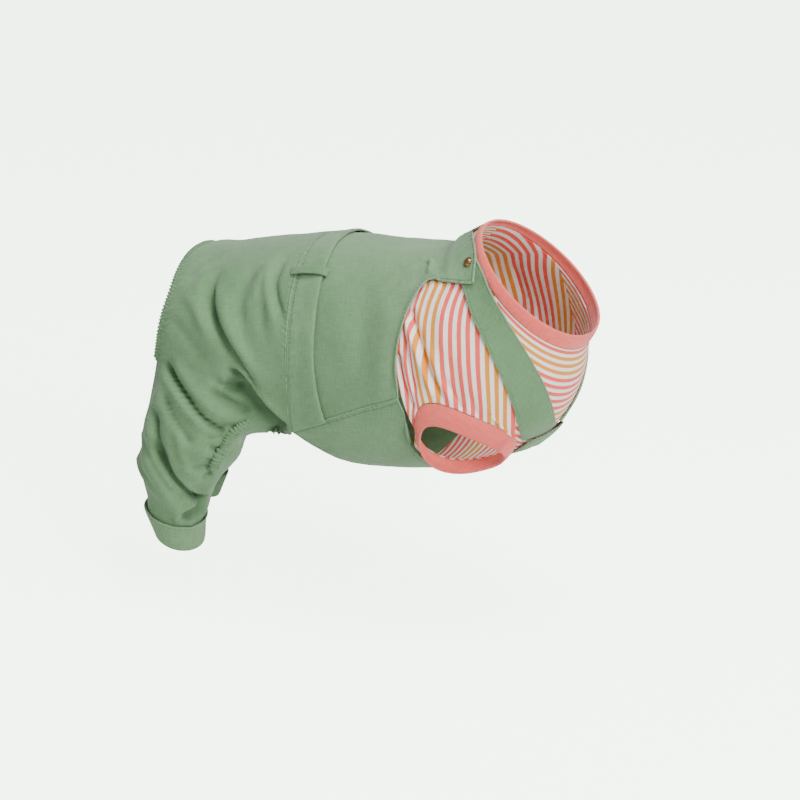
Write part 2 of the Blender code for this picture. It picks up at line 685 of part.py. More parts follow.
def snap(name, side):
    """A domed cap on the shoulder flap, above the strap's end."""
    station, angle = SNAP_STATION, SNAP_ANGLE
    seat = form(station, angle * side, FLAP_FACE + LAYER_GAP)
    ahead = form(station + 0.01, angle * side, FLAP_FACE + LAYER_GAP) - seat
    round_way = form(station, angle * side + 2, FLAP_FACE + LAYER_GAP) - seat
    out = np.cross(ahead, round_way)
    out = out / np.linalg.norm(out)
    if out @ (seat - np.array(body_middle())) < 0:
        out = -out
    ahead = ahead / np.linalg.norm(ahead)
    across = np.cross(out, ahead)
    radius = SNAP_DIAMETER / 2
    profile = ((1.0, 0.0), (1.0, 0.35), (0.82, 0.72), (0.45, 0.96))
    mesh = bmesh.new()
    rings = []
    for reach, height in profile:
        rings.append([mesh.verts.new(seat + out * SNAP_HEIGHT * height
                                     + radius * reach * (cos(a) * ahead + sin(a) * across))
                      for a in (tau * k / 16 for k in range(16))])
    for low, high in zip(rings, rings[1:]):
        for j in range(16):
            k = (j + 1) % 16
            mesh.faces.new((low[j], low[k], high[k], high[j]))
    mesh.faces.new(rings[0])
    mesh.faces.new(rings[-1])
    bmesh.ops.recalc_face_normals(mesh, faces=mesh.faces[:])
    return finish(name, mesh, BRASS, 0.35, 1.0)


def main():
    for old in list(bpy.data.objects):
        bpy.data.objects.remove(old)
    bodice()
    belly_panel()
    waistband()
    pants()
    chest_hem()
    shirt_chest()
    shirt_back()
    neck_band()
    for (name, side), sections in zip(SIDES, (RIGHT_LEG, LEFT_LEG)):
        cuff("cuff_" + name, side, sections)
        belt_loop("belt_loop_" + name, side)
        strap("strap_" + name, side)
        shirt_sleeve("shirt_sleeve_" + name, side)
        sleeve_band("sleeve_band_" + name, side)
        snap("snap_" + name, side)


main()
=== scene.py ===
"""The looks of a small dog's jumpsuit: green dungarees over a striped jersey shirt, round its CAD frame.

Metres, in the frame's own axes: +X towards the head end, +Y to the wearer's left, origin at the back of the
waist. Every panel is a grid laid on the worn form that the CAD source uses. A place on it is a station, the
share of the back's length ahead of the waist, and an angle round the body: 0 on the back, 90 on the right
flank, 180 under it. Folds are short tables of lines drawn on the photograph, 800 by 800. They shape the near
side, and the far side gets the same ones mirrored.
"""

from math import cos, pi, radians, sin, tau

import bmesh
import bpy
import numpy as np
from mathutils import Matrix, Vector, noise


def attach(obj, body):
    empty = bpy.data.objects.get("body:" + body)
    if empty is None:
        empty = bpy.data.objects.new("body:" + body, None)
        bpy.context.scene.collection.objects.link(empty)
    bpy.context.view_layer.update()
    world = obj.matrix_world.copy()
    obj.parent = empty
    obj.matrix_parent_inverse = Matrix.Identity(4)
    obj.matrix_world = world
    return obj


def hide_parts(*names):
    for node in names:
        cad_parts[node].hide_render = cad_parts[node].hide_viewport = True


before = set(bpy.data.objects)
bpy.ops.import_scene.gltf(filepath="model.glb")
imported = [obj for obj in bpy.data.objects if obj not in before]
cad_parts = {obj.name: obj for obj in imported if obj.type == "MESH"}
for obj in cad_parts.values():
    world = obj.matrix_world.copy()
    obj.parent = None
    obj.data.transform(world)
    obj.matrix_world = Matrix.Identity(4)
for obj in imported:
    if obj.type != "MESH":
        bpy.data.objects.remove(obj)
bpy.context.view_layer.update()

# Sizes of the garment, the same as in its CAD source
BACK_LENGTH, BODY_WIDTH, BODY_DEPTH = 0.355, 0.160, 0.182
BODY_TURN = 0.6
LEG_DROP, LEG_WIDTH = 0.160, 0.048
CLOTH_WALL, KNIT_WALL, RIB_WALL, STRAP_WALL = 0.0013, 0.0011, 0.0018, 0.0016
LAYER_GAP, SEAM_GAP = 0.0006, 0.0001
STRAP_WIDTH, STRAP_END_SKEW, STRAP_SKEW_FROM = 0.025, 0.9, 0.75
WAISTBAND_UNDERLAP = 0.006
CUFF_HEIGHT, CUFF_WALL, CUFF_EASE = 0.0195, 0.0020, 0.0004
SLEEVE_BAND, SLEEVE_OPENING_SHARE = 0.0145, 0.84
NECK_BAND = 0.011
CHEST_HEM, CHEST_HEM_OVERHANG, CHEST_HEM_BEHIND = 0.011, 0.004, 0.55
BELT_LOOP_WIDTH, BELT_LOOP_ANGLE, BELT_LOOP_RISE, BELT_LOOP_PAST = 0.0068, 39, 0.0022, (0.004, 0.0035)
SNAP_DIAMETER, SNAP_HEIGHT, SNAP_STATION, SNAP_ANGLE = 0.0080, 0.0026, 0.560, 50
WELD = 0.00002

# Outer faces of the layers above the worn form
SHIRT_FACE = -0.0022
BODICE_FACE = SHIRT_FACE + LAYER_GAP + CLOTH_WALL
STRAP_FACE = SHIRT_FACE + LAYER_GAP + STRAP_WALL
BAND_FACE = BODICE_FACE + LAYER_GAP + CLOTH_WALL
FLAP_FACE = STRAP_FACE + LAYER_GAP + CLOTH_WALL

# Worn form: station, axis x and z, lean, half width, height above and below the axis, power of the section
FORM = (
    (-0.423, -0.417, 0.077, -8, 0.312, 0.262, 0.330, 2.2),
    (-0.352, -0.352, 0.050, -4, 0.412, 0.338, 0.385, 2.3),
    (-0.254, -0.254, 0.022, 0, 0.469, 0.391, 0.440, 2.3),
    (-0.141, -0.141, 0.011, 0, 0.494, 0.442, 0.472, 2.3),
    (0.000, 0.000, 0.000, 0, 0.500, 0.500, 0.494, 2.3),
    (0.141, 0.141, 0.000, 2, 0.512, 0.506, 0.488, 2.3),
    (0.254, 0.248, 0.022, 9, 0.519, 0.495, 0.474, 2.3),
    (0.338, 0.316, 0.071, 19, 0.512, 0.467, 0.480, 2.3),
    (0.423, 0.378, 0.159, 30, 0.481, 0.429, 0.484, 2.2),
    (0.507, 0.428, 0.275, 40, 0.412, 0.385, 0.412, 2.1),
    (0.578, 0.459, 0.385, 46, 0.362, 0.341, 0.341, 2.0),
    (0.625, 0.485, 0.450, 50, 0.350, 0.325, 0.322, 2.0),
)
SIDE_SEAM = ((-0.040, 123), (0.056, 111), (0.149, 102), (0.248, 96))
ARMHOLE = ((0.248, 96, 0.200), (0.256, 82, 0.235), (0.276, 69, 0.270), (0.318, 54, 0.310),
           (0.383, 42, 0.370), (0.428, 42, 0.405))
FLAP_EDGE = ((0.428, 42, 0.405), (0.496, 54, 0.418), (0.552, 66, 0.430))
FLAP_RISE = (0.44, 0.06)
FLAP_FRONT = ((0.0, 0.430), (0.06, 0.500), (0.2, 0.560), (0.45, 0.588), (0.75, 0.588), (1.0, 0.552))
BELLY_EDGE = ((0.248, 96), (0.256, 104), (0.250, 114), (0.242, 126), (0.246, 139), (0.268, 152),
              (0.310, 161), (0.362, 165), (0.410, 163))
BELLY_REAR_STATION, CHEST_STATION, BELLY_ROUND = 0.080, 0.428, 2.4
WAISTBAND = ((0, -0.050, 0.013), (30, -0.042, 0.024), (70, -0.034, 0.034), (95, -0.031, 0.039),
             (123, -0.036, 0.060))
STRAP = ((0.545, 46), (0.549, 62), (0.540, 80), (0.531, 98), (0.514, 118), (0.491, 136), (0.461, 153),
         (0.435, 166))
SLEEVE_STATION, SLEEVE_ANGLE = 0.344, 131
SLEEVE_RADIUS, SLEEVE_SPREAD, SLEEVE_SHEAR = 0.076, 28, 12
SLEEVE_AXIS = (0.02, -0.45, -0.89)
SHIRT_REAR, SHIRT_MIDDLE, SHIRT_NECK, SHOULDER_SEAM = 0.205, 0.45, 0.578, 24
SLEEVE_REAR_TURN, SLEEVE_FRONT_TURN, CHEST_ROUND = 190, 14, 1.6
RAGLAN = ((0.414, 144), (0.448, 140), (0.479, 133), (0.520, 112), (0.578, 84))
SEAT_EDGE = ((0, -0.366), (36, -0.362), (54, -0.361), (78, -0.374), (106, -0.387))
HIP_LINE = ((0.0, 123), (0.2, 110), (0.5, 99), (0.8, 98), (1.0, 104))
INNER_RIM = ((-0.360, -0.260, -0.215), (-0.310, -0.155, -0.290), (-0.225, -0.150, -0.320),
             (-0.130, -0.270, -0.318))
RIGHT_LEG = (
    (-0.289, -0.362, -0.375, 0.955, 0.670, 5, 4),
    (-0.307, -0.362, -0.500, 0.865, 0.625, 8, 5),
    (-0.338, -0.362, -0.612, 0.750, 0.585, 12, 8),
    (-0.346, -0.362, -0.719, 0.635, 0.545, 16, 12),
    (-0.347, -0.362, -0.800, 0.560, 0.520, 19, 14),
    (-0.352, -0.362, -0.862, 0.500, 0.500, 19, 14),
    (-0.343, -0.362, -0.968, 0.410, 0.410, 18, 14),
)
LEFT_LEG = (
    (-0.335, -0.362, -0.375, 0.760, 0.670, 5, 4),
    (-0.370, -0.362, -0.500, 0.620, 0.625, 8, 5),
    (-0.398, -0.362, -0.612, 0.530, 0.585, 14, 6),
    (-0.412, -0.362, -0.719, 0.510, 0.545, 20, 6),
    (-0.422, -0.362, -0.800, 0.490, 0.520, 24, 6),
    (-0.428, -0.362, -0.856, 0.470, 0.500, 25, 6),
    (-0.440, -0.362, -0.980, 0.410, 0.410, 25, 6),
)
INSEAM_TURN = -28
LEG_STEPS = (3, 2, 2, 2, 1, 1, 1)
SIDES = (("right", 1), ("left", -1))

# How finely the grids are laid
SEAT_ROWS, SEAT_COLUMNS, LEG_FINE = 84, 156, 7
BACK_STEPS, BACK_COLUMNS = (31, 65, 37), 177      # along the side seam, the armhole and the shoulder flap
BELLY_STEPS, BELLY_ROWS, BELLY_COLUMNS = (41, 81), 121, 129
WAIST_ROWS, WAIST_COLUMNS = 15, 261
STRAP_ROWS, STRAP_COLUMNS = 88, 17
SLEEVE_ROWS, SLEEVE_COLUMNS = 153, 81
CHEST_ROWS, CHEST_COLUMNS = 121, 113
YOKE_ROWS, YOKE_COLUMNS = 61, 41
RIB_ROWS, RIB_STEPS, COLLAR_ROWS, COLLAR_STEPS = 13, 181, 9, 241

# Edges that lift off the layer under them: the height at the edge and how far in it fades
ARMHOLE_LIFT, FLAP_CURL, STRAP_CURL = (0.0022, 0.007), (0.0008, 0.004), (0.0003, 0.0015)
# Stations where the armhole's lift has ended and the flap's curl begins, and how long they take
ARMHOLE_END, CURL_FROM, EDGE_BLEND = 0.46, 0.40, 0.05
# The waistband's rolled fold, the drop at its very edge and the dent along its stitching, in metres
WAIST_ROLL, WAIST_DROP, WAIST_DENT = 0.0011, 0.0007, 0.0004
# Gathers: height and spacing. Casings: width, height and spacing, and how far their ends draw in
SEAT_GATHER, LEG_GATHER = (0.0012, 0.0052), (0.0022, 0.0060)
RIM_CASING, INSEAM_CASING, CASING_TAPER = (0.0052, 0.0034, 0.0029), (0.0078, 0.0036, 0.0032), 0.012

# Camera of the photograph
CAMERA_FROM, CAMERA_AT = (0.7002, -1.5725, 0.4369), (0.0, 0.0, -0.0894)
CAMERA_LENS, CAMERA_SHIFT, PHOTO_SIZE = 101.25, (0.0725, -0.0675), 800


# Curves through a short table

def along(rows, way):
    """The rows' values at shares of the way through them, on a smooth curve through every row."""
    rows = np.array(rows, float)
    last = len(rows) - 1
    place = np.clip(way, 0.0, 1.0) * last
    i = np.minimum(place.astype(int), last - 1)
    t = (place - i)[..., None]
    slopes = np.gradient(rows, axis=0)
    return ((2 * t**3 - 3 * t**2 + 1) * rows[i] + (t**3 - 2 * t**2 + t) * slopes[i]
            + (3 * t**2 - 2 * t**3) * rows[i + 1] + (t**3 - t**2) * slopes[i + 1])


def even(rows):
    """A table that starts at 0, carried on below 0 as its mirror image, so that its curve is level there."""
    return ((-rows[1][0],) + tuple(rows[1][1:]),) + tuple(rows)


def at(rows, key):
    """A table's values at values of its first column, on a smooth curve through every row."""
    rows = np.array(rows, float)
    keys, values = rows[:, 0], rows[:, 1:]
    slopes = np.gradient(values, keys, axis=0)
    key = np.clip(key, keys[0], keys[-1])
    i = np.clip(np.searchsorted(keys, key, side="right") - 1, 0, len(keys) - 2)
    span = (keys[i + 1] - keys[i])[..., None]
    t = (key - keys[i])[..., None] / span
    return ((2 * t**3 - 3 * t**2 + 1) * values[i] + (t**3 - 2 * t**2 + t) * span * slopes[i]
            + (3 * t**2 - 2 * t**3) * values[i + 1] + (t**3 - t**2) * span * slopes[i + 1])


def smooth(t):
    t = np.clip(t, 0.0, 1.0)
    return t * t * (3 - 2 * t)


def unit(vectors):
    return vectors / np.maximum(np.linalg.norm(vectors, axis=-1, keepdims=True), 1e-12)


# The worn form

def upright(station, angle, lift):
    """Places before the body's plan bend and before the origin is moved to the back."""
    station, angle, lift = np.broadcast_arrays(station, angle, lift)
    x, z, lean, half_width, up, down, power = np.moveaxis(at(FORM, station), -1, 0)
    a = np.radians(angle)
    side = (half_width * BODY_WIDTH + lift) * np.sign(np.sin(a)) * abs(np.sin(a)) ** (2 / power)
    reach = np.where(np.cos(a) > 0, up, down) * BODY_DEPTH + lift
    height = reach * np.sign(np.cos(a)) * abs(np.cos(a)) ** (2 / power)
    lean = np.radians(lean)
    ahead, up = x * BACK_LENGTH - np.sin(lean) * height, z * BODY_DEPTH + np.cos(lean) * height
    return np.stack((ahead, -side, up), -1)


SEAT_HEIGHT = upright(0.0, 0.0, BODICE_FACE - CLOTH_WALL)[2]


def placed(points):
    """Places of the upright form, bent in plan and moved to the garment's own origin."""
    x, y, z = np.moveaxis(np.asarray(points, float), -1, 0)
    turn = BODY_TURN * x
    return np.stack((np.sin(turn) / BODY_TURN + y * np.sin(turn),
                     (np.cos(turn) - 1) / BODY_TURN + y * np.cos(turn), z - SEAT_HEIGHT), -1)


def form(station, angle, lift=0.0):
    return placed(upright(station, angle, lift))


def arc(length):
    return length / (BODY_WIDTH / 2) * 180 / pi


def share(length):
    return length / BACK_LENGTH


BODY_MIDDLE = placed((0.1 * BACK_LENGTH, 0, 0))


# Where a place shows in the photograph

def camera_axes():
    ahead = unit(np.array(CAMERA_AT) - np.array(CAMERA_FROM))
    right = unit(np.cross(ahead, (0, 0, 1)))
    return ahead, right, np.cross(right, ahead)


CAMERA_AHEAD, CAMERA_RIGHT, CAMERA_UP = camera_axes()


def seen(points):
    """The pixel of the photograph that each place shows at."""
    away = np.asarray(points) - np.array(CAMERA_FROM)
    scale = CAMERA_LENS / 36 / (away @ CAMERA_AHEAD)
    return PHOTO_SIZE * np.stack((0.5 - CAMERA_SHIFT[0] + away @ CAMERA_RIGHT * scale,
                                  0.5 + CAMERA_SHIFT[1] - away @ CAMERA_UP * scale), -1)


def grid_normals(points, middle):
    """Directions away from the middle, square to a grid of places that lies round the body or a leg."""
    normals = unit(np.cross(np.gradient(points, axis=0), np.gradient(points, axis=1)))
    return normals if (normals * (points - middle)).sum() >= 0 else -normals


def spots(points, middle=None):
    """For each place of a grid on the wearer's right: its pixel, and how squarely it faces the camera."""
    normals = grid_normals(points, points.mean(axis=(0, 1)) if middle is None else middle)
    facing = smooth((-(normals @ CAMERA_AHEAD) - 0.02) / 0.3)
    return np.concatenate((seen(points), facing[..., None]), -1)


# Folds. Each row: the line through pixels of the photograph, drawn downwards, its height in metres, its
# widths in pixels on the photograph's left and right of the line, 1 for a sharp crest or 2 for a round one,
# and the shares of the line over which it comes and goes

SEAT_FOLDS = (
    (((227, 266), (216, 277), (210.8, 291), (210.3, 305), (216, 323), (227, 344), (239, 362), (253, 384),
      (268, 410)),
     -0.0040, 4.5, 3.5, 1.5, 0.25, 0.15),
    (((215, 262), (204, 275), (199, 291), (199, 306), (204, 325), (215, 347), (229, 368)), 0.0016, 8, 6,
     2, 0.3, 0.3),
    (((236, 288), (226, 300), (224, 318), (234, 342), (252, 370), (272, 398)), 0.0020, 7, 8, 2, 0.3, 0.3),
    (((292, 250), (282, 265), (275.5, 281), (276.3, 296), (281, 313), (284, 330)), -0.0026, 3.5, 2.4, 1.5,
     0.35, 0.3),
    (((283, 248), (273, 262), (267, 280), (269, 300), (273, 322), (276, 350)), 0.0016, 5, 4, 2, 0.3, 0.4),
    (((262, 262), (251, 277), (242, 296), (241, 318), (247, 345)), -0.0018, 6, 5, 2, 0.3, 0.4),
    (((275, 258), (262, 272), (255, 290), (252, 306)), 0.0012, 4, 4, 2, 0.3, 0.4),
    (((262, 300), (262, 320), (266, 345)), -0.0011, 5, 4, 2, 0.3, 0.4),
    (((235, 250), (213, 258), (195, 270), (182, 284)), -0.0014, 6, 8, 2, 0.3, 0.3),
    (((178, 292), (190, 300), (200, 318), (214, 340)), 0.0012, 6, 6, 2, 0.3, 0.3),
    (((166, 312), (180, 330), (198, 352), (214, 372)), -0.0012, 6, 6, 2, 0.3, 0.3),
)
LEG_FOLDS = (
    # The flank's cloth hangs over the inner part of the leg
    (((221, 368), (231, 371), (242, 382), (253.4, 397.5), (266, 411), (277, 422), (287, 433)),
     -0.0066, 15, 1.2, 1.3, 0.3, 0.10),
    (((226, 364), (238, 372), (248, 384), (260, 398), (274, 413), (287, 428)), 0.0016, 3, 5, 2, 0.3, 0.2),
    (((208, 374), (224, 386), (234, 388), (239, 383)), -0.0032, 5, 2.5, 1.4, 0.3, 0.3),
    (((202, 388), (219, 395), (236, 405), (250, 416)), -0.0030, 6, 2.6, 1.4, 0.3, 0.2),
    (((222, 374), (234, 379), (241, 387)), 0.0018, 3, 3, 2, 0.3, 0.3),
    (((212, 380), (226, 392), (242, 403)), 0.0016, 3, 3, 2, 0.3, 0.3),
    # The long crease from the rear, and its fellows on the thigh
    (((163.7, 357), (172, 376.5), (183.3, 394.7), (198.7, 414.3), (214.2, 427), (227, 434)),
     -0.0046, 2.0, 3.4, 1.2, 0.14, 0.12),
    (((159, 360), (167, 379), (178, 398), (193, 418), (209, 431)), 0.0020, 4, 3, 2, 0.2, 0.2),
    (((172, 352), (182, 372), (196, 394), (212, 410), (232, 424)), 0.0018, 4, 5, 2, 0.2, 0.2),
    (((161, 384), (166, 402), (176, 422), (188, 439), (195, 448)), -0.0026, 3.5, 4, 1.6, 0.3, 0.3),
    (((170, 378), (180, 400), (194, 420), (206, 434)), 0.0014, 4, 4, 2, 0.3, 0.3),
    (((187, 398), (200, 412), (214, 422)), 0.0012, 3, 3, 2, 0.3, 0.3),
    # The hock's long fold and the knee's drapes
    (((151.5, 402), (152, 418), (153.5, 438), (159.5, 457), (170.7, 475), (181, 487.5), (191, 495.5),
      (201, 499.5), (211, 496)), -0.0048, 1.6, 6, 1.3, 0.15, 0.12),
    (((148.5, 404), (149, 420), (150.5, 440), (156, 459), (167, 478), (178, 491), (190, 500), (203, 504)),
     0.0022, 3.5, 2.5, 2, 0.2, 0.2),
    (((162, 452), (172, 468), (184, 483), (196, 492), (205, 489), (213, 480)), 0.0030, 5, 2.4, 1.6, 0.3,
     0.15),
    (((171, 489), (183, 495.5), (196, 500), (209, 498)), -0.0042, 4, 2, 1.3, 0.35, 0.15),
    (((175, 523), (177, 517), (183, 512), (193, 507.5), (205, 503)), 0.0020, 3, 2, 1.6, 0.3, 0.2),
    (((178, 521), (188, 516), (199, 510), (208, 500)), -0.0050, 6, 5, 2, 0.3, 0.3),
    (((176, 420), (179, 440), (182, 458), (187, 474)), 0.0016, 4, 6, 2, 0.3, 0.3),
    (((141, 448), (150, 468), (163, 490), (175, 505)), 0.0014, 5, 5, 2, 0.3, 0.3),
    (((170, 450), (180, 462), (186, 470)), -0.0014, 4, 4, 2, 0.4, 0.4),
    # Short folds that run out of the ruched inner seam
    (((214, 419), (224, 424), (236, 428)), -0.0022, 1.8, 1.8, 1.5, 0.5, 0.1),
    (((224, 437), (212, 438), (200, 434)), -0.0016, 2, 2, 1.5, 0.1, 0.5),
    (((221, 450), (214, 449), (204, 441)), -0.0024, 2.2, 2, 1.5, 0.1, 0.5),
    (((214, 463), (208, 461), (199, 463)), -0.0020, 1.8, 1.8, 1.5, 0.1, 0.5),
    (((212, 468), (198, 467), (184, 471)), -0.0020, 2, 2, 1.5, 0.1, 0.5),
    (((213, 474), (206, 476), (199, 479)), -0.0020, 2, 2, 1.5, 0.1, 0.5),
)
BACK_FOLDS = (
    (((427, 262), (425, 268), (420, 276), (412, 290)), -0.0022, 3.5, 2.5, 1.5, 0.1, 0.5),
    (((432, 258), (430, 268), (428, 276)), 0.0016, 2.5, 2.5, 2, 0.2, 0.4),
    (((300, 262), (306, 290), (312, 330), (316, 370)), -0.0008, 8, 8, 2, 0.3, 0.3),
    (((325, 250), (334, 285), (340, 330), (342, 380)), 0.0009, 12, 12, 2, 0.3, 0.3),
    (((372, 262), (366, 300), (364, 350), (360, 400)), -0.0010, 11, 11, 2, 0.3, 0.3),
    (((398, 300), (386, 330), (382, 370), (380, 410)), 0.0010, 9, 9, 2, 0.3, 0.3),
    (((402, 262), (392, 280), (385, 300)), -0.0007, 6, 6, 2, 0.3, 0.3),
)
SLEEVE_FOLDS = (
    (((409, 306), (414, 325), (423, 352), (432, 375), (440, 393), (447, 409)), -0.0036, 1.6, 3.5, 1.2,
     0.1, 0.25),
    (((405, 310), (409, 330), (417, 354), (427, 380), (436, 402)), 0.0020, 4, 2.5, 2, 0.2, 0.2),
    (((396, 352), (399, 368), (403, 385), (410, 402), (414, 411)), -0.0030, 2, 3, 1.4, 0.1, 0.2),
    (((404, 330), (407, 352), (411, 375), (417, 398)), -0.0022, 2, 2.4, 1.5, 0.2, 0.2),
    (((426, 336), (432, 362), (440, 384), (452, 406)), 0.0018, 4, 5, 2, 0.3, 0.3),
    (((443, 372), (449, 388), (458, 403), (463, 414)), -0.0018, 3, 3, 1.6, 0.3, 0.1),
    (((451, 352), (452, 372), (458, 392), (468, 410)), -0.0010, 5, 5, 2, 0.3, 0.2),
    (((446, 300), (441, 330), (443, 358)), 0.0010, 6, 6, 2, 0.3, 0.3),
    (((470, 392), (474, 408), (480, 420)), -0.0012, 3, 3, 1.6, 0.3, 0.1),
)


# How much deeper the folds are made, and the least width in pixels and power that the grids can show
FOLD_DEPTH, FOLD_WIDTH, FOLD_POWER = 1.5, 2.9, 1.5


def drawn(places, folds):
    """Height of the folds at grid places that carry a pixel and how squarely they face the camera."""
    flat = places.reshape(-1, 3)
    rise = np.zeros(len(flat))
    for line, height, left, right, power, come, go in folds:
        curve = along(line, np.linspace(0, 1, 10 * len(line)))
        start, step = curve[:-1], np.diff(curve, axis=0)
        reach = 4 * max(left, right)
        near = np.all((flat[:, :2] > curve.min(0) - reach) & (flat[:, :2] < curve.max(0) + reach), axis=1)
        near = np.flatnonzero(near & (flat[:, 2] > 0))
        if not len(near):
            continue
        away = flat[near, None, :2] - start
        t = np.clip((away * step).sum(2) / (step**2).sum(1), 0, 1)
        far = np.linalg.norm(away - t[..., None] * step, axis=2)
        k = far.argmin(1)
        row = np.arange(len(near))
        to_right = step[k, 0] * away[row, k, 1] - step[k, 1] * away[row, k, 0] < 0
        width = np.maximum(np.where(to_right, right, left), FOLD_WIDTH)
        way = (k + t[row, k]) / len(step)
        rise[near] += (FOLD_DEPTH * height * np.exp(-(far[row, k] / width) ** max(power, FOLD_POWER))
                       * smooth(way / come) * smooth((1 - way) / go) * flat[near, 2])
    return rise.reshape(places.shape[:-1])


def ripple(points, size, stretch=(1, 1, 1)):
    """Soft unevenness of worn cloth, between about -1 and 1."""
    flat = np.asarray(points).reshape(-1, 3) * np.array(stretch) / size
    return np.array([noise.noise(Vector(p)) for p in flat]).reshape(np.asarray(points).shape[:-1])


def uneven(points, *waves):
    """The sum of several ripples, each given as its height and its size."""
    return sum(height * ripple(points, *size) for height, *size in waves)


# Cloth coordinates

def lengths(points, axis):
    """Running length along the grid's rows (axis 1) or down its columns (axis 0)."""
    step = np.linalg.norm(np.diff(points, axis=axis), axis=2)
    return np.concatenate((np.zeros_like(step[:, :1] if axis else step[:1]), np.cumsum(step, axis=axis)),
                          axis=axis)


def laid(points):
    """Each place's position on the flat cloth, across and along it, in metres."""
    across = lengths(points, 1)
    across = across - across[:, across.shape[1] // 2][:, None]
    down = lengths(points, 0)[:, points.shape[1] // 2][:, None] + 0 * across
    return np.stack((across, down, 0 * across), -1)


def rolled(points):
    """Each place's position on the flat cloth of a ring, round it and along it."""
    return np.stack((lengths(points, 1), lengths(points, 0), 0 * points[..., 0]), -1)


def seams(points, sides=True, first=False, last=False):
    """For each place: run along the nearest sewn edge, distance from that edge, and 1."""
    across, down = lengths(points, 1), lengths(points, 0)
    best = np.full(across.shape, 9.0)
    run = np.zeros_like(best)
    edges = []
    if sides:
        edges += [(down[:, :1] + 0 * across, across), (down[:, -1:] + 0 * across, across[:, -1:] - across)]
    if first:
        edges.append((across[:1] + 0 * across, down))
    if last:
        edges.append((across[-1:] + 0 * across, down[-1:] - down))
    for way, distance in edges:
        nearer = distance < best
        best = np.where(nearer, distance, best)
        run = np.where(nearer, way, run)
    return np.stack((run, best, np.ones_like(best)), -1)


def no_seams(points):
    return np.stack((0 * points[..., 0], 0 * points[..., 0] + 0.5, 0 * points[..., 0]), -1)


# Making pieces

def as_piece(name, mesh, finish, slot, *nodes):
    """A named object from a bmesh, with its finish, that rides with the garment in place of CAD nodes."""
    data = bpy.data.meshes.new(name)
    mesh.to_mesh(data)
    mesh.free()
    made = bpy.data.objects.new(name, data)
    bpy.context.scene.collection.objects.link(made)
    data.materials.append(finish)
    data.shade_smooth()
    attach(made, "root")
    if nodes:
        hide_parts(*nodes)
    return made


def lay_grid(mesh, points, flat, sewn, height=None, count=None):
    """A bmesh grid with its corners moved to the places, carrying its cloth and seam coordinates, its folds,
    and for striped jersey each place's count of stripes."""
    rows, columns = points.shape[:2]
    layers = mesh.verts.layers
    stripe = layers.float_vector.get("stripe") or layers.float_vector.new("stripe")
    cloth = layers.float_vector.get("cloth") or layers.float_vector.new("cloth")
    seam = layers.float_vector.get("seam") or layers.float_vector.new("seam")
    fold = layers.float.get("fold") or layers.float.new("fold")
    made = bmesh.ops.create_grid(mesh, x_segments=columns - 1, y_segments=rows - 1, size=0.5)["verts"]
    rise = np.zeros(rows * columns) if height is None else height.reshape(-1)
    counts = np.broadcast_to(0.0 if count is None else count, (rows, columns)).reshape(-1)
    for vert, place, lie, edge, up, number in zip(made, points.reshape(-1, 3), flat.reshape(-1, 3),
                                                  sewn.reshape(-1, 3), rise, counts):
        vert.co = place
        vert[cloth] = lie
        vert[seam] = edge
        vert[fold] = up
        vert[stripe] = (number, 0, 0)
    return made


def sew(name, grids, wall, finish, slot, nodes, middle=None):
    """A panel of one wall thickness inwards from its grids, with its folds raised out of them."""
    mesh = bmesh.new()
    for grid in grids:
        lay_grid(mesh, *grid)
    bmesh.ops.remove_doubles(mesh, verts=mesh.verts[:], dist=WELD)
    bmesh.ops.recalc_face_normals(mesh, faces=mesh.faces[:])
    mesh.normal_update()
    middle = Vector(BODY_MIDDLE if middle is None else middle)
    outward = sum(face.normal.dot(face.calc_center_median() - middle) * face.calc_area()
                  for face in mesh.faces)
    if outward < 0:
        bmesh.ops.reverse_faces(mesh, faces=mesh.faces[:])
        mesh.normal_update()
    fold = mesh.verts.layers.float["fold"]
    moves = [vert.normal * vert[fold] for vert in mesh.verts]
    for vert, move in zip(mesh.verts, moves):
        vert.co += move
    made = as_piece(name, mesh, finish, slot, *nodes)
    thicken = made.modifiers.new("wall", "SOLIDIFY")
    thicken.thickness = wall
    thicken.offset = -1
    return made


def tube(name, path, outward, profile, finish, slot, nodes=(), closed=False):
    """A strip or cord along a path: the profile gives each ring's corners as (across, out) in metres, and may
    change along the path."""
    path, outward = np.asarray(path), unit(np.asarray(outward))
    ahead = unit(np.gradient(path, axis=0))
    outward = unit(outward - ahead * (outward * ahead).sum(-1, keepdims=True))
    across = np.cross(outward, ahead)
    profile = np.asarray(profile)
    if profile.ndim == 2:
        profile = np.broadcast_to(profile, (len(path),) + profile.shape)
    rings = path[:, None] + across[:, None] * profile[..., :1] + outward[:, None] * profile[..., 1:]
    rings = np.concatenate((rings, rings[:, :1]), axis=1)
    if closed:
        rings = np.concatenate((rings, rings[:1]), axis=0)
    run = lengths(rings, 0)
    flat = np.stack((lengths(rings, 1), run, 0 * run), -1)
    mesh = bmesh.new()
    lay_grid(mesh, rings, flat, no_seams(rings))
    bmesh.ops.remove_doubles(mesh, verts=mesh.verts[:], dist=WELD / 4)
    if not closed:
        bmesh.ops.holes_fill(mesh, edges=[edge for edge in mesh.edges if edge.is_boundary], sides=0)
    bmesh.ops.recalc_face_normals(mesh, faces=mesh.faces[:])
    return as_piece(name, mesh, finish, slot, *nodes)


# Finishes

def linear(red, green, blue):
    """A colour measured in the photograph, 0 to 255, as the shader wants it."""
    values = np.array((red, green, blue)) / 255
    values = np.where(values <= 0.04045, values / 12.92, ((values + 0.055) / 1.055) ** 2.4)
    return (*values.tolist(), 1.0)


def add(tree, kind, values=None, **settings):
    """A node with its settings, and its inputs set or linked."""
    made = tree.nodes.new(kind)
    for label, value in settings.items():
        setattr(made, label, value)
    for label, value in (values or {}).items():
        if isinstance(value, bpy.types.NodeSocket):
            tree.links.new(value, made.inputs[label])
        else:
            made.inputs[label].default_value = value
    return made


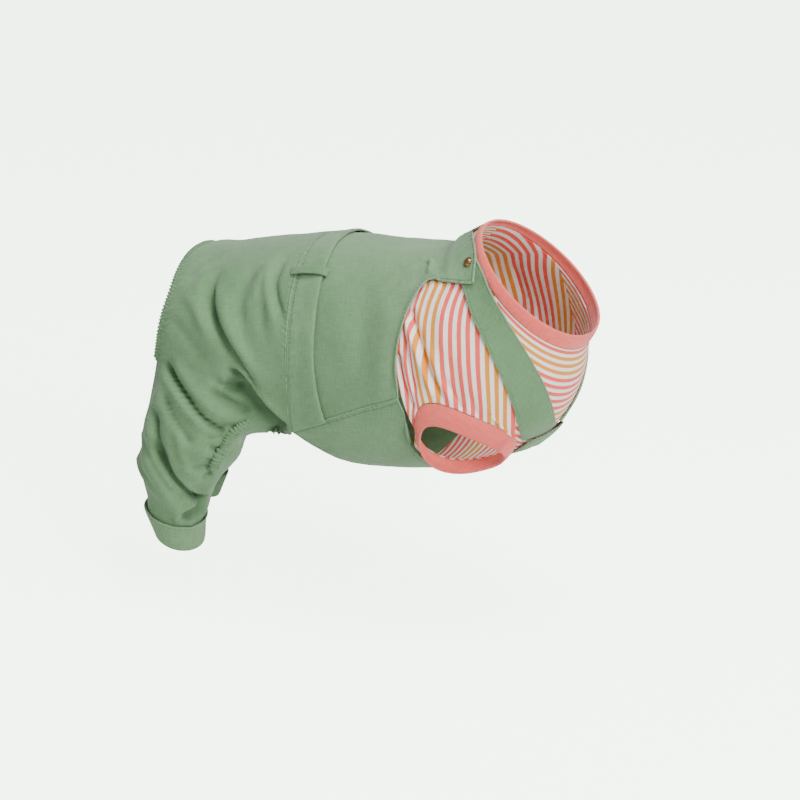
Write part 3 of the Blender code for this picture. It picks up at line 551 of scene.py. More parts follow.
def sums(tree, operation, first, second=0.0, third=0.0):
    return add(tree, "ShaderNodeMath", {0: first, 1: second, 2: third}, operation=operation).outputs[0]


def times(tree, first, second):
    return sums(tree, "MULTIPLY", first, second)


def part_of(tree, vector):
    split = add(tree, "ShaderNodeSeparateXYZ", {0: vector})
    return split.outputs[0], split.outputs[1]


def scaled(tree, vector, x, y, z=1.0):
    return add(tree, "ShaderNodeMapping", {"Vector": vector, "Scale": (x, y, z)}).outputs[0]


def cloudy(tree, vector, scale=1.0, detail=2.0):
    return add(tree, "ShaderNodeTexNoise", {"Vector": vector, "Scale": scale, "Detail": detail}).outputs[0]


def blended(tree, amount, first, second, way="MIX"):
    made = add(tree, "ShaderNodeMix", {0: amount, 6: first, 7: second}, data_type="RGBA", blend_type=way)
    return made.outputs[2]


def effect(name, inputs, outputs):
    """A shader node group with named inputs and outputs."""
    tree = bpy.data.node_groups.new(name, "ShaderNodeTree")
    for label, kind, value in inputs:
        socket = tree.interface.new_socket(label, in_out="INPUT", socket_type="NodeSocket" + kind)
        if kind == "Float":
            socket.default_value = value
    for label, kind in outputs:
        tree.interface.new_socket(label, in_out="OUTPUT", socket_type="NodeSocket" + kind)
    return tree, tree.nodes.new("NodeGroupInput").outputs, tree.nodes.new("NodeGroupOutput").inputs


def slub_weave():
    """Plain weave with thick and thin yarns: Tone for its colour, Height for its bump."""
    tree, given, out = effect("slub weave", [("Cloth", "Vector", None), ("Thread", "Float", 0.0005)],
                              [("Tone", "Float"), ("Height", "Float")])
    x, y = part_of(tree, given["Cloth"])
    warp = sums(tree, "SINE", sums(tree, "DIVIDE", times(tree, x, pi), given["Thread"]))
    weft = sums(tree, "SINE", sums(tree, "DIVIDE", times(tree, y, pi), given["Thread"]))
    over = times(tree, warp, weft)
    across = cloudy(tree, scaled(tree, given["Cloth"], 110, 1500), 1.0, 3)
    down = cloudy(tree, scaled(tree, given["Cloth"], 1500, 100), 1.0, 3)
    slub = sums(tree, "ADD", across, down)
    tree.links.new(sums(tree, "MULTIPLY_ADD", slub, 1.6, -1.1), out["Tone"])
    tree.links.new(sums(tree, "ADD", times(tree, over, 0.35), slub), out["Height"])
    return tree


def sewn_edge():
    """The trace of a seam: Line, 1 along the sewn line, Pucker, the height of the gathers beside it, and Rim,
    1 at the very edge."""
    tree, given, out = effect("sewn edge",
                              [("Seam", "Vector", None), ("Inset", "Float", 0.002),
                               ("Reach", "Float", 0.012)],
                              [("Line", "Float"), ("Pucker", "Float"), ("Rim", "Float")])
    run, away = part_of(tree, given["Seam"])
    off = sums(tree, "DIVIDE", sums(tree, "SUBTRACT", away, given["Inset"]), 0.0005)
    line = sums(tree, "EXPONENT", times(tree, times(tree, off, off), -1.0))
    tree.links.new(line, out["Line"])
    rim = sums(tree, "EXPONENT", sums(tree, "DIVIDE", away, -0.0006))
    tree.links.new(rim, out["Rim"])
    left = sums(tree, "SUBTRACT", 1.0, sums(tree, "DIVIDE", away, given["Reach"]))
    fade = sums(tree, "MAXIMUM", left, 0.0)
    puff = cloudy(tree, scaled(tree, given["Seam"], 330, 45), 1.0, 1)
    tree.links.new(times(tree, times(tree, fade, fade), puff), out["Pucker"])
    return tree


def jersey_knit():
    """Fine knit: columns of stitches in Height, and uneven yarn in Tone."""
    tree, given, out = effect("jersey knit", [("Cloth", "Vector", None), ("Wale", "Float", 0.0009)],
                              [("Tone", "Float"), ("Height", "Float")])
    x, y = part_of(tree, given["Cloth"])
    wale = sums(tree, "SINE", sums(tree, "DIVIDE", times(tree, x, tau), given["Wale"]))
    course = sums(tree, "SINE", sums(tree, "DIVIDE", times(tree, y, tau), given["Wale"]))
    knit = sums(tree, "ADD", times(tree, wale, 0.6), times(tree, course, 0.3))
    tree.links.new(cloudy(tree, scaled(tree, given["Cloth"], 500, 120), 1.0, 2), out["Tone"])
    tree.links.new(knit, out["Height"])
    return tree


def knitted_stripes():
    """Stripes across a coordinate counted in stripes: Coral and Mustard are 1 on theirs. Of every eight
    stripes, three are mustard and five are coral."""
    tree, given, out = effect("knitted stripes", [("Count", "Float", 0.0), ("Width", "Float", 0.52)],
                              [("Coral", "Float"), ("Mustard", "Float")])
    within = sums(tree, "FRACT", given["Count"])
    centre = sums(tree, "ABSOLUTE", sums(tree, "SUBTRACT", within, 0.5))
    inside = sums(tree, "SUBTRACT", times(tree, given["Width"], 0.5), centre)
    stripe = add(tree, "ShaderNodeMapRange", {0: inside, 1: -0.022, 2: 0.022}).outputs[0]
    turn = sums(tree, "FLOORED_MODULO", sums(tree, "FLOOR", given["Count"]), 8.0)
    mustard = sums(tree, "LESS_THAN", turn, 2.5)
    tree.links.new(times(tree, stripe, mustard), out["Mustard"])
    tree.links.new(times(tree, stripe, sums(tree, "SUBTRACT", 1.0, mustard)), out["Coral"])
    return tree


def rib_knit():
    """Narrow ribs that run across a band."""
    tree, given, out = effect("rib knit", [("Cloth", "Vector", None), ("Rib", "Float", 0.0013)],
                              [("Tone", "Float"), ("Height", "Float")])
    x, y = part_of(tree, given["Cloth"])
    rib = sums(tree, "SINE", sums(tree, "DIVIDE", times(tree, x, tau), given["Rib"]))
    fluff = cloudy(tree, scaled(tree, given["Cloth"], 400, 200), 1.0, 3)
    tree.links.new(sums(tree, "ADD", times(tree, rib, 0.5), fluff), out["Height"])
    tree.links.new(sums(tree, "ADD", times(tree, rib, 0.25), fluff), out["Tone"])
    return tree


WEAVE, SEWN, JERSEY, STRIPES, RIB = slub_weave(), sewn_edge(), jersey_knit(), knitted_stripes(), rib_knit()


def group(tree, effect_tree, values):
    made = tree.nodes.new("ShaderNodeGroup")
    made.node_tree = effect_tree
    for label, value in values.items():
        if isinstance(value, bpy.types.NodeSocket):
            tree.links.new(value, made.inputs[label])
        else:
            made.inputs[label].default_value = value
    return made.outputs


def new_finish(name, roughness, sheen=0.0, metallic=0.0):
    made = bpy.data.materials.new(name)
    made.use_nodes = True
    tree = made.node_tree
    shader = tree.nodes["Principled BSDF"]
    shader.inputs["Roughness"].default_value = roughness
    shader.inputs["Sheen Weight"].default_value = sheen
    shader.inputs["Sheen Roughness"].default_value = 0.5
    shader.inputs["Metallic"].default_value = metallic
    shader.inputs["Specular IOR Level"].default_value = 0.5 if metallic else 0.25
    return made, tree, shader.inputs


def attribute(tree, name):
    return add(tree, "ShaderNodeAttribute", attribute_name=name).outputs["Vector"]


def bumps(tree, shader, heights):
    """Bump nodes one after another: each a height, its depth in metres and its strength."""
    normal = None
    for height, depth, strength in heights:
        made = add(tree, "ShaderNodeBump", {"Height": height, "Distance": depth, "Strength": strength})
        if normal is not None:
            tree.links.new(normal, made.inputs["Normal"])
        normal = made.outputs[0]
    tree.links.new(normal, shader["Normal"])


# The darker green is painted shade in the folds' valleys and also the dark sewn lines; the lighter green is a
# painted highlight along the edges, partly wear
CREASE_SHADE_AND_SEAM_GREEN, EDGE_HIGHLIGHT_AND_WEAR_GREEN = (48, 72, 48), (150, 180, 142)


def green_finish(name, dark, light, inset, line_depth):
    made, tree, shader = new_finish(name, 0.86, sheen=0.25)
    cloth, seam = attribute(tree, "cloth"), attribute(tree, "seam")
    weave = group(tree, WEAVE, {"Cloth": cloth, "Thread": 0.00055})
    edge = group(tree, SEWN, {"Seam": seam, "Inset": inset, "Reach": 0.014})
    place = add(tree, "ShaderNodeTexCoord").outputs["Object"]
    fade = cloudy(tree, place, 22.0, 3)
    tone = sums(tree, "ADD", times(tree, weave["Tone"], 0.4), times(tree, fade, 0.5))
    colour = blended(tree, tone, linear(*dark), linear(*light))
    fold = add(tree, "ShaderNodeAttribute", attribute_name="fold").outputs["Fac"]
    # Painted shade: the cloth's colour is darkened in the folds' valleys, where shade falls
    painted_crease_shade = add(tree, "ShaderNodeMapRange", {0: fold, 1: -0.0008, 2: -0.0055, 3: 0.0, 4: 0.5}).outputs[0]
    colour = blended(tree, painted_crease_shade, colour, linear(*CREASE_SHADE_AND_SEAM_GREEN))
    # Painted highlight, partly wear: the cloth is lightened along its very edge
    colour = blended(tree, times(tree, edge["Rim"], 0.35), colour, linear(*EDGE_HIGHLIGHT_AND_WEAR_GREEN))
    colour = blended(tree, times(tree, edge["Line"], line_depth), colour, linear(*CREASE_SHADE_AND_SEAM_GREEN))
    tree.links.new(colour, shader["Base Color"])
    rough = sums(tree, "MULTIPLY_ADD", weave["Tone"], 0.08, 0.82)
    tree.links.new(rough, shader["Roughness"])
    sunk = times(tree, edge["Line"], -1.0)
    bumps(tree, shader, ((edge["Pucker"], 0.0016, 1.0), (sunk, 0.0004, 0.8), (weave["Height"], 0.00012, 0.9)))
    return made


def jersey_finish(name, base=(255, 248, 240), coral=(255, 96, 84), mustard=(240, 150, 52)):
    made, tree, shader = new_finish(name, 0.9, sheen=0.15)
    cloth, count = attribute(tree, "cloth"), attribute(tree, "stripe")
    knit = group(tree, JERSEY, {"Cloth": cloth, "Wale": 0.0009})
    wobble = sums(tree, "MULTIPLY_ADD", knit["Tone"], 0.05, -0.025)
    stripe = group(tree, STRIPES, {"Count": sums(tree, "ADD", part_of(tree, count)[0], wobble),
                                   "Width": 0.52})
    colour = blended(tree, stripe["Coral"], linear(*base), linear(*coral))
    colour = blended(tree, stripe["Mustard"], colour, linear(*mustard))
    shade = blended(tree, times(tree, knit["Tone"], 0.22), (1, 1, 1, 1), (0.55, 0.55, 0.58, 1))
    colour = blended(tree, 1.0, colour, shade, "MULTIPLY")
    tree.links.new(colour, shader["Base Color"])
    bumps(tree, shader, ((knit["Height"], 0.00010, 0.8),))
    return made


def rib_finish(name):
    made, tree, shader = new_finish(name, 0.9, sheen=0.3)
    rib = group(tree, RIB, {"Cloth": attribute(tree, "cloth"), "Rib": 0.0014})
    colour = blended(tree, rib["Tone"], linear(232, 84, 76), linear(255, 122, 110))
    tree.links.new(colour, shader["Base Color"])
    bumps(tree, shader, ((rib["Height"], 0.00022, 0.9),))
    return made


def thread_finish(name, dark, light):
    made, tree, shader = new_finish(name, 0.7, sheen=0.2)
    twist = cloudy(tree, add(tree, "ShaderNodeTexCoord").outputs["Object"], 1500.0, 1)
    tree.links.new(blended(tree, twist, linear(*dark), linear(*light)), shader["Base Color"])
    bumps(tree, shader, ((twist, 0.0001, 0.6),))
    return made


def brass_finish(name):
    made, tree, shader = new_finish(name, 0.3, metallic=1.0)
    place = add(tree, "ShaderNodeTexCoord").outputs["Object"]
    cloud, fleck = cloudy(tree, place, 380.0, 4), cloudy(tree, place, 1600.0, 2)
    colour = blended(tree, cloud, linear(92, 70, 44), linear(190, 150, 98))
    tree.links.new(colour, shader["Base Color"])
    tree.links.new(sums(tree, "MULTIPLY_ADD", fleck, 0.3, 0.16), shader["Roughness"])
    bumps(tree, shader, ((fleck, 0.00006, 0.4),))
    return made


# Dark and light yarns, how far in the sewn line lies, and how dark it is
GREEN, TROUSER_GREEN, STRAP_GREEN, CUFF_GREEN = (green_finish(*row) for row in (
    ("green cloth", (78, 114, 76), (131, 167, 125), 0.0022, 0.4),
    ("trouser cloth", (76, 112, 74), (127, 163, 121), 0.0022, 0.06),
    ("strap cloth", (74, 110, 72), (122, 158, 116), 0.0016, 0.12),
    ("turn-up cloth", (84, 121, 82), (136, 172, 129), 0.0016, 0.1)))
STRIPED = jersey_finish("striped jersey")
CORAL_RIB = rib_finish("coral rib")
THREAD = thread_finish("green thread", (70, 100, 68), (140, 172, 132))
BRASS = brass_finish("dark brass")


# Dungarees: back, belly and waist

def mirrored(values):
    """The wearer's right half of a symmetrical grid, and the same mirrored for the left half."""
    half = values[:, values.shape[1] // 2:]
    return np.concatenate((half[:, :0:-1], half), axis=1)


def lifted(away, edge):
    """Height of a lifted edge at a distance from it."""
    return edge[0] * np.exp(-away / edge[1])


def back_panel():
    waist = -share(WAISTBAND_UNDERLAP)
    t = np.linspace(0, 1, BACK_STEPS[0])
    station = waist + (SIDE_SEAM[-1][0] - waist) * t
    side = np.stack((station, at(SIDE_SEAM, station)[:, 0] - arc(SEAM_GAP / 2),
                     waist + (ARMHOLE[0][2] - waist) * t), -1)
    hole, shoulder = np.linspace(0, 1, BACK_STEPS[1])[1:], np.linspace(0, 1, BACK_STEPS[2])[1:]
    edge = np.vstack((side, along(ARMHOLE, hole), along(FLAP_EDGE, shoulder)))
    ramp = np.concatenate((0 * t, (hole - 7 / 8) * 8 / 5, (1 + 4 * shoulder) / 5))[:, None]
    station, angle, centre = (edge[:, k:k + 1] for k in range(3))
    v = np.linspace(-1, 1, BACK_COLUMNS)[None]
    straight = centre + (station - centre) * v * v
    front = at(FLAP_FRONT, abs(v))[..., 0] + (station - FLAP_FRONT[-1][1]) * abs(v)
    here = straight + (front - straight) * smooth(ramp) ** 2
    lift = BODICE_FACE + (FLAP_FACE - BODICE_FACE) * smooth((here - FLAP_RISE[0]) / FLAP_RISE[1])
    points = form(here, angle * v, lift)
    away = seams(points)[..., 1]
    past_seam = smooth((np.arange(len(edge))[:, None] - (len(side) - 1)) / 12)
    stands_off = lifted(away, ARMHOLE_LIFT) * past_seam * smooth((ARMHOLE_END - here) / EDGE_BLEND)
    flap_curl = lifted(away, FLAP_CURL) * smooth((here - CURL_FROM) / EDGE_BLEND)
    height = drawn(mirrored(spots(points)), BACK_FOLDS) + stands_off + flap_curl
    height += uneven(points, (0.0005, 0.030), (0.0003, 0.012, (1, 1, 0.4)))
    height = np.where(here > SHIRT_REAR - 0.02, np.maximum(height, -0.7 * LAYER_GAP), height)
    sewn = seams(points, last=True)
    return sew("back_panel", [(points, laid(points), sewn, height)], CLOTH_WALL, GREEN, "green_cloth",
               ["bodice"])


def belly_cloth():
    clear = arc(SEAM_GAP / 2)
    seam = along([(s, a + clear) for s, a in SIDE_SEAM], np.linspace(0, 1, BELLY_STEPS[0]))
    edge = along(((SIDE_SEAM[-1][0], SIDE_SEAM[-1][1] + clear),) + BELLY_EDGE[1:],
                 np.linspace(0, 1, BELLY_STEPS[1]))
    station, angle = np.vstack((seam, edge[1:])).T[:, :, None]
    t = (np.arange(BELLY_ROWS) / (BELLY_ROWS - 1))[:, None]
    centre = BELLY_REAR_STATION + (CHEST_STATION - BELLY_REAR_STATION) * t
    v = np.linspace(-1, 1, BELLY_COLUMNS)[None]
    here = centre + (station - centre) * abs(v) ** BELLY_ROUND
    points = form(here, 180 + (180 - angle) * v, BODICE_FACE)
    height = uneven(points, (0.0006, 0.028), (0.0003, 0.011))
    sewn = seams(points, first=True, last=True)
    return sew("belly_cloth", [(points, laid(points), sewn, height)], CLOTH_WALL, GREEN, "green_cloth",
               ["belly_panel"])


def waist_places(angle, way, lift):
    """Places on the waistband at angles round the body: way 0 is its rear edge and 1 its front fold."""
    edges = at(even(WAISTBAND), abs(angle))
    station = edges[..., 0] + (edges[..., 1] - edges[..., 0]) * way
    return station, angle, lift


def waist_fold():
    end = WAISTBAND[-1][0] - arc(SEAM_GAP / 2)
    way, v = np.linspace(0, 1, WAIST_ROWS)[:, None], np.linspace(-1, 1, WAIST_COLUMNS)[None]
    station = waist_places(abs(v) * end, way, 0)[0]
    limit = at(SIDE_SEAM, station)[..., 0] - arc(SEAM_GAP / 2)
    roll = WAIST_ROLL * smooth((way - 0.35) / 0.5) - WAIST_DROP * smooth((way - 0.92) / 0.08)
    dent = -WAIST_DENT * np.exp(-((way - 0.10) / 0.07) ** 2)
    points = form(station, limit * v, BAND_FACE + roll + dent)
    height = uneven(points, (0.0005, 0.016), (0.0003, 0.007))
    sewn = seams(points, sides=False, first=True)
    return sew("waist_fold", [(points, laid(points), sewn, height)], CLOTH_WALL, GREEN, "green_cloth",
               ["waistband"])


def rounded_bar(width, height, corners=14, power=4):
    """Corners of a flat bar's section with soft edges, standing on its base."""
    a = np.arange(corners) * tau / corners
    x = np.sign(np.cos(a)) * abs(np.cos(a)) ** (2 / power) * width / 2
    y = np.sign(np.sin(a)) * abs(np.sin(a)) ** (2 / power) * height / 2 + height / 2
    return np.stack((x, y), -1)


def belt_loop(name, side, node):
    angle = BELT_LOOP_ANGLE * side
    rear, front = at(even(WAISTBAND), np.array(float(BELT_LOOP_ANGLE)))
    rear, front = rear - share(BELT_LOOP_PAST[0]), front + share(BELT_LOOP_PAST[1])
    t = np.linspace(0, 1, 41)
    rise = BAND_FACE + LAYER_GAP + BELT_LOOP_RISE * np.sin(pi * t) ** 0.6
    rise = rise - LAYER_GAP * smooth((t - 0.9) / 0.1)
    station = rear + (front - rear) * t
    path = form(station, angle, rise)
    outward = form(station, angle, rise + 0.01) - path
    tube(name, path, outward, rounded_bar(BELT_LOOP_WIDTH, CLOTH_WALL), STRAP_GREEN, "green_cloth", [node])


# Trousers

def leg_ring(section, side, angles):
    """Places round one section of a trouser leg, at angles from the front over the outer side."""
    x, y, z, half_length, half_width, dip, droop = section
    middle = np.array((x * BACK_LENGTH, y * BODY_WIDTH, z * LEG_DROP))
    dip, droop = radians(dip), radians(droop)
    ahead = np.array((cos(dip), 0, -sin(dip)))
    out = np.array((0, -cos(droop), -sin(droop)))
    points = (middle + half_length * LEG_WIDTH * np.cos(angles)[:, None] * ahead
              + half_width * LEG_WIDTH * np.sin(angles)[:, None] * out)
    return points * (1, side, 1)


def seat_places(way, v, above=0.0):
    """Places of the seat: way 0 at the waistband to 1 at the rear rim, v from -1 to 1 over the back."""
    way, v = np.broadcast_arrays(way, v)
    angle = at(HIP_LINE, way)[..., 0] * v
    front = at(even(WAISTBAND), abs(angle))[..., 0] - share(SEAM_GAP)
    rear = at(even(SEAT_EDGE), abs(angle))[..., 0]
    station = front + (rear - front) * way
    t = (abs(angle) - 50) / (106 - 50)
    swell = (0.0024 * smooth((t + 0.3) / 0.4) * smooth((1.3 - t) / 0.4)
             * np.exp(-((station + 0.238 - 0.133 * t) / 0.022) ** 2))
    lift = BAND_FACE + swell * smooth(way / 0.15) * smooth((1 - way) / 0.1)
    return upright(station, angle - above * v, lift)


LEG_SHAPE = (
    (150, 0.12, 60, 0.52, 0.0030, 0.060),
    (160, 0.38, 70, 0.74, 0.0026, 0.050),
    (120, 0.16, 40, 0.40, 0.0024, 0.045),
    (160, 0.60, 40, 0.84, 0.0024, 0.045),
    (100, 0.40, 15, 0.60, 0.0020, 0.040),
)


def leg_swell(turn, down):
    """Broad swells of the leg's cloth, at degrees round the leg and shares of the way down it."""
    rise = 0.0
    for a0, d0, a1, d1, height, half in LEG_SHAPE:
        ax, ay = (a1 - a0) / 180, d1 - d0
        px, py = (turn - a0) / 180, down - d0
        t = np.clip((px * ax + py * ay) / (ax * ax + ay * ay), 0, 1)
        rise = rise + height * np.exp(-(np.hypot(px - t * ax, py - t * ay) / half) ** 2)
    return rise


def leg_places(side, sections):
    """Outer face of a trouser leg, row by row from the hip line to the hem, before the body's bend."""
    count = SEAT_ROWS
    way = np.linspace(0, 1, count + 1)
    hip = seat_places(way, np.full(count + 1, float(side)))
    above = seat_places(way, np.full(count + 1, float(side)), above=14)
    rim = [(x * BACK_LENGTH, y * BODY_WIDTH * side, z * BODY_DEPTH) for x, y, z in INNER_RIM]
    inner = along([hip[-1]] + rim + [hip[0]], way[1:-1])
    root = np.vstack((hip, inner))
    angles = pi * np.arange(2 * count) / count
    rings = [root] + [leg_ring(section, side, angles) for section in sections]
    before = 2 * rings[0] - rings[1]
    before[:count + 1] = above
    rings = [before] + rings + [2 * rings[-1] - rings[-2]]
    rows = [root]
    for k, steps in enumerate(LEG_STEPS):
        p0, p1, p2, p3 = rings[k:k + 4]
        for t in np.linspace(0, 1, steps * LEG_FINE + 1)[1:]:
            rows.append(0.5 * (2 * p1 + (p2 - p0) * t + (2 * p0 - 5 * p1 + 4 * p2 - p3) * t**2
                               + (3 * p1 - p0 - 3 * p2 + p3) * t**3))
    rows = np.array(rows)
    down = np.linspace(0, 1, len(rows))[:, None]
    swell = leg_swell(np.degrees(angles)[None], down) * smooth(down / 0.12) * smooth((1 - down) / 0.15)
    return rows + unit(rows - rows.mean(axis=1, keepdims=True)) * swell[..., None]


def closed(rows):
    return np.concatenate((rows, rows[:, :1]), axis=1)


def uneven_wave(run, pitch, seed=0.0):
    """Gathers along a length: sharp valleys and round crests, unevenly spaced, between 0 and 1."""
    drift = np.array([noise.noise(Vector((s / 0.014, seed, 0.0))) for s in np.ravel(run)])
    return abs(np.sin(pi * (run / pitch + 0.9 * drift.reshape(np.shape(run)))))


def legs():
    for (name, side), sections in zip(SIDES, (RIGHT_LEG, LEFT_LEG)):
        yield name, side, closed(placed(leg_places(side, sections)))


def trousers():
    way, v = np.linspace(0, 1, SEAT_ROWS + 1)[:, None], np.linspace(-1, 1, SEAT_COLUMNS + 1)[None]
    seat = placed(seat_places(way, v))
    twin = mirrored(spots(seat))
    across = lengths(seat, 1)
    across = across - across[:, across.shape[1] // 2][:, None]
    rim = smooth((way - 0.84) / 0.16) * smooth((abs(across) - 0.03) / 0.03)
    gather = SEAT_GATHER[0] * (uneven_wave(across, SEAT_GATHER[1]) - 0.5) * rim
    bow = drawn(twin, SEAT_FOLDS) + drawn(twin, LEG_FOLDS)
    height = (bow * smooth(way / 0.03) * smooth((1 - way) / 0.05) + gather
              + uneven(seat, (0.0006, 0.030), (0.0003, 0.012)) * smooth(way / 0.05))
    flat = laid(seat)
    grids = [(seat, flat, seams(seat, sides=False, first=True), height)]
    pair = list(legs())
    near = spots(pair[0][2])
    for name, side, leg in pair:
        turn = np.degrees(np.arange(leg.shape[1]) * pi / SEAT_ROWS)[None]
        down = np.linspace(0, 1, len(leg))[:, None]
        drop = lengths(leg, 0)
        inseam = abs((turn - 360 - INSEAM_TURN + 180) % 360 - 180)
        radiate = LEG_GATHER[0] * (uneven_wave(drop, LEG_GATHER[1], 3.0) - 0.6)
        radiate = radiate * np.exp(-(inseam / 17) ** 1.5)
        radiate = radiate * smooth((down - 0.06) / 0.1) * smooth((0.9 - down) / 0.1)
        drape = (drawn(near, LEG_FOLDS) + drawn(near, SEAT_FOLDS)) * smooth((1 - down) / 0.05)
        inner = smooth((turn - 190) / 20) * smooth((350 - turn) / 20)
        soft = 0.0016 * ripple(leg, 0.022, (1, 1, 1.6)) * inner * smooth(down / 0.15)
        height = drape + radiate + (0.0006 * ripple(leg, 0.026) + soft) * smooth((1 - down) / 0.1)
        root = lengths(leg[:1], 1)[0]
        around = lengths(leg, 1) - lengths(leg, 1)[:, SEAT_ROWS // 2][:, None] + root[SEAT_ROWS // 2]
        outer = np.minimum(np.arange(leg.shape[1]), SEAT_ROWS)
        hip = flat[outer, -1, 0] if side > 0 else flat[outer, 0, 0]
        lie = np.stack((hip[None] + side * lengths(leg, 0)[:, SEAT_ROWS // 2][:, None], around,
                        0 * around), -1)
        grids.append((leg, lie, no_seams(leg), height))
    return sew("trousers", grids, CLOTH_WALL, TROUSER_GREEN, "green_cloth", ["pants"])


def turn_up(name, leg, node):
    """A turned-up hem: an outer layer round the leg's end, folded in under it at the bottom."""
    rows = leg[-3 * LEG_FINE - 1:, :-1]
    hem, top_row = rows[-1], rows[0]
    middle = hem.mean(axis=0)
    up = unit(top_row.mean(axis=0) - middle)
    out = hem - middle
    out = unit(out - (out @ up)[:, None] * up)
    heights = (rows - hem) @ up
    reach = ((rows - hem) * out).sum(-1)
    gap = LAYER_GAP + CUFF_EASE

    def line(levels, offset):
        """Places up the cloth at several heights above the hem, an offset outside it."""
        spread = np.array([np.interp(levels, heights[::-1, j], reach[::-1, j]) for j in range(len(hem))]).T
        return hem + up * levels[:, None, None] + out * (spread + offset)[..., None]

    levels = np.linspace(CUFF_HEIGHT, 0.0012, 12)
    outer = line(levels, gap + CUFF_WALL)
    lip = line(np.array((CUFF_HEIGHT + 0.0006,)), gap + CUFF_WALL / 2)
    under = [hem - up * (LAYER_GAP + CUFF_WALL * 0.75) + out * (gap + CUFF_WALL * 0.7),
             hem - up * (LAYER_GAP + CUFF_WALL) + out * 0.0004,
             hem - up * (LAYER_GAP + CUFF_WALL * 0.6) - out * CLOTH_WALL,
             hem - up * LAYER_GAP - out * CLOTH_WALL,
             hem - up * LAYER_GAP + out * gap]
    inner = line(levels[::-1], gap)
    loops = np.concatenate((lip, outer, np.array(under), inner, lip))
    wave = ripple(hem, 0.018)
    flare = smooth(((loops - hem) @ up - 0.008) / 0.016)
    loops = loops + out * (0.0007 * wave * flare)[..., None]
    loops = closed(loops)
    sewn = np.stack((lengths(loops, 1), abs(((loops - closed(hem[None])) @ up) - CUFF_HEIGHT),
                     0 * loops[..., 0]), -1)
    mesh = bmesh.new()
    lay_grid(mesh, loops, rolled(loops), sewn)
    bmesh.ops.remove_doubles(mesh, verts=mesh.verts[:], dist=WELD)
    bmesh.ops.recalc_face_normals(mesh, faces=mesh.faces[:])
    return as_piece(name, mesh, CUFF_GREEN, "green_cloth", node)


def along_path(path, step):
    """A path read off at even steps."""
    run = lengths(np.asarray(path)[None], 1)[0]
    places = np.arange(0, run[-1], step)
    return np.stack([np.interp(places, run, np.asarray(path)[:, k]) for k in range(3)], -1)


def ruched(name, path, outward, width, height, pitch, seed, taper=0.0):
    """A casing along an edge, gathered into uneven tucks, and drawn in at its ends over the taper."""
    run = lengths(path[None], 1)[0]
    full = smooth(run / taper) * smooth((run[-1] - run) / taper) if taper else np.ones_like(run)
    puff = uneven_wave(run, pitch, seed)[:, None, None]
    a = np.arange(12) * tau / 12
    oval = np.stack((np.cos(a) * width / 2, np.sin(a) * height / 2), -1)[None]
    sway = 0.0004 * np.array([noise.noise(Vector((s / 0.006, seed, 2.0))) for s in run])[:, None, None]
    profile = oval * (0.62 + 0.60 * puff) * (0.15 + 0.85 * full[:, None, None]) + sway
    return tube(name, path, outward, profile, STRAP_GREEN, "green_cloth")


INSEAM_LINE = ((249, 418.5), (240.8, 427), (228, 439.6), (219.8, 453.6), (214, 466), (212, 474.6))


def inseam_trace(leg):
    """Rows and columns of the near leg's grid where the gathered inner seam shows in the photograph."""
    places = spots(leg)
    away = np.linalg.norm(places[:, :, None, :2] - along(INSEAM_LINE, np.linspace(0, 1, 41)), axis=-1)
    away = away + 50 * (places[..., 2:] < 0.04)
    nearest = away.reshape(-1, 41).argmin(0)
    return nearest // leg.shape[1], nearest % leg.shape[1]


def rim_and_inseams():
    pair = list(legs())
    trace = inseam_trace(pair[0][2])
    v = np.linspace(-1, 1, 2 * SEAT_COLUMNS + 1)
    over = placed(seat_places(np.ones_like(v), v))
    rims = [over]
    for name, side, leg in pair:
        inner = leg[0, SEAT_ROWS:-1]
        rims = rims + [inner] if side > 0 else [inner[::-1]] + rims
    path = along_path(np.vstack(rims), 0.0005)
    outward = path - placed(np.array((-0.33 * BACK_LENGTH, 0, 0)))
    outward[:, 0] = 0
    ruched("rim_casing", path, outward, *RIM_CASING, 1.0)
    for name, side, leg in pair:
        normals = grid_normals(leg, leg.mean(axis=1, keepdims=True))
        row, column = trace
        line, out = leg[row, column], normals[row, column]
        path, out = (along(table[::4], np.linspace(0, 1, 150)) for table in (line, out))
        ruched("inseam_gather_" + name, path + out * 0.0004, out, *INSEAM_CASING, 5.0 + side, CASING_TAPER)


# Straps and chest

def shoulder_strap(name, side, node):
    length = STRAP_ROWS
    way = np.linspace(0, 1, length + 1)
    path = along(STRAP, way)
    place = np.arange(length + 1)
    ahead = path[np.minimum(place + 4, length)] - path[np.maximum(place - 4, 0)]
    run = unit(np.stack((ahead[:, 0] * BACK_LENGTH, np.radians(ahead[:, 1]) * BODY_WIDTH / 2 * 0.9), -1))
    skew = (STRAP_END_SKEW * smooth((way - STRAP_SKEW_FROM) / (1 - STRAP_SKEW_FROM)))[:, None]
    off = STRAP_WIDTH * np.linspace(-0.5, 0.5, STRAP_COLUMNS)[None]
    forward = run[:, 1:] * off + run[:, :1] * off * skew
    round_way = run[:, 1:] * off * skew - run[:, :1] * off
    points = form(path[:, :1] + share(forward), (path[:, 1:] + arc(round_way)) * side, STRAP_FACE)
    edge = seams(points)
    height = 0.0004 * ripple(points, 0.02) + lifted(edge[..., 1], STRAP_CURL)
    sew(name, [(points, laid(points), edge, height)], STRAP_WALL, STRAP_GREEN, "green_cloth", [node])


def chest_facing():
    side_station, side_angle = BELLY_EDGE[-1]
    half = 180 - side_angle + arc(CHEST_HEM_OVERHANG)
    way, v = np.linspace(0, 1, 13)[:, None], np.linspace(-1, 1, 61)[None]
    edge = CHEST_STATION + (side_station - CHEST_STATION) * abs(v) ** BELLY_ROUND
    points = form(edge + share(CHEST_HEM * (way - CHEST_HEM_BEHIND)), 180 + half * v, FLAP_FACE)
    height = 0.0004 * ripple(points, 0.010)
    sewn = seams(points, sides=True, first=True, last=True)
    sew("chest_facing", [(points, laid(points), sewn, height)], CLOTH_WALL, STRAP_GREEN, "green_cloth",
        ["chest_hem"])


# Shirt

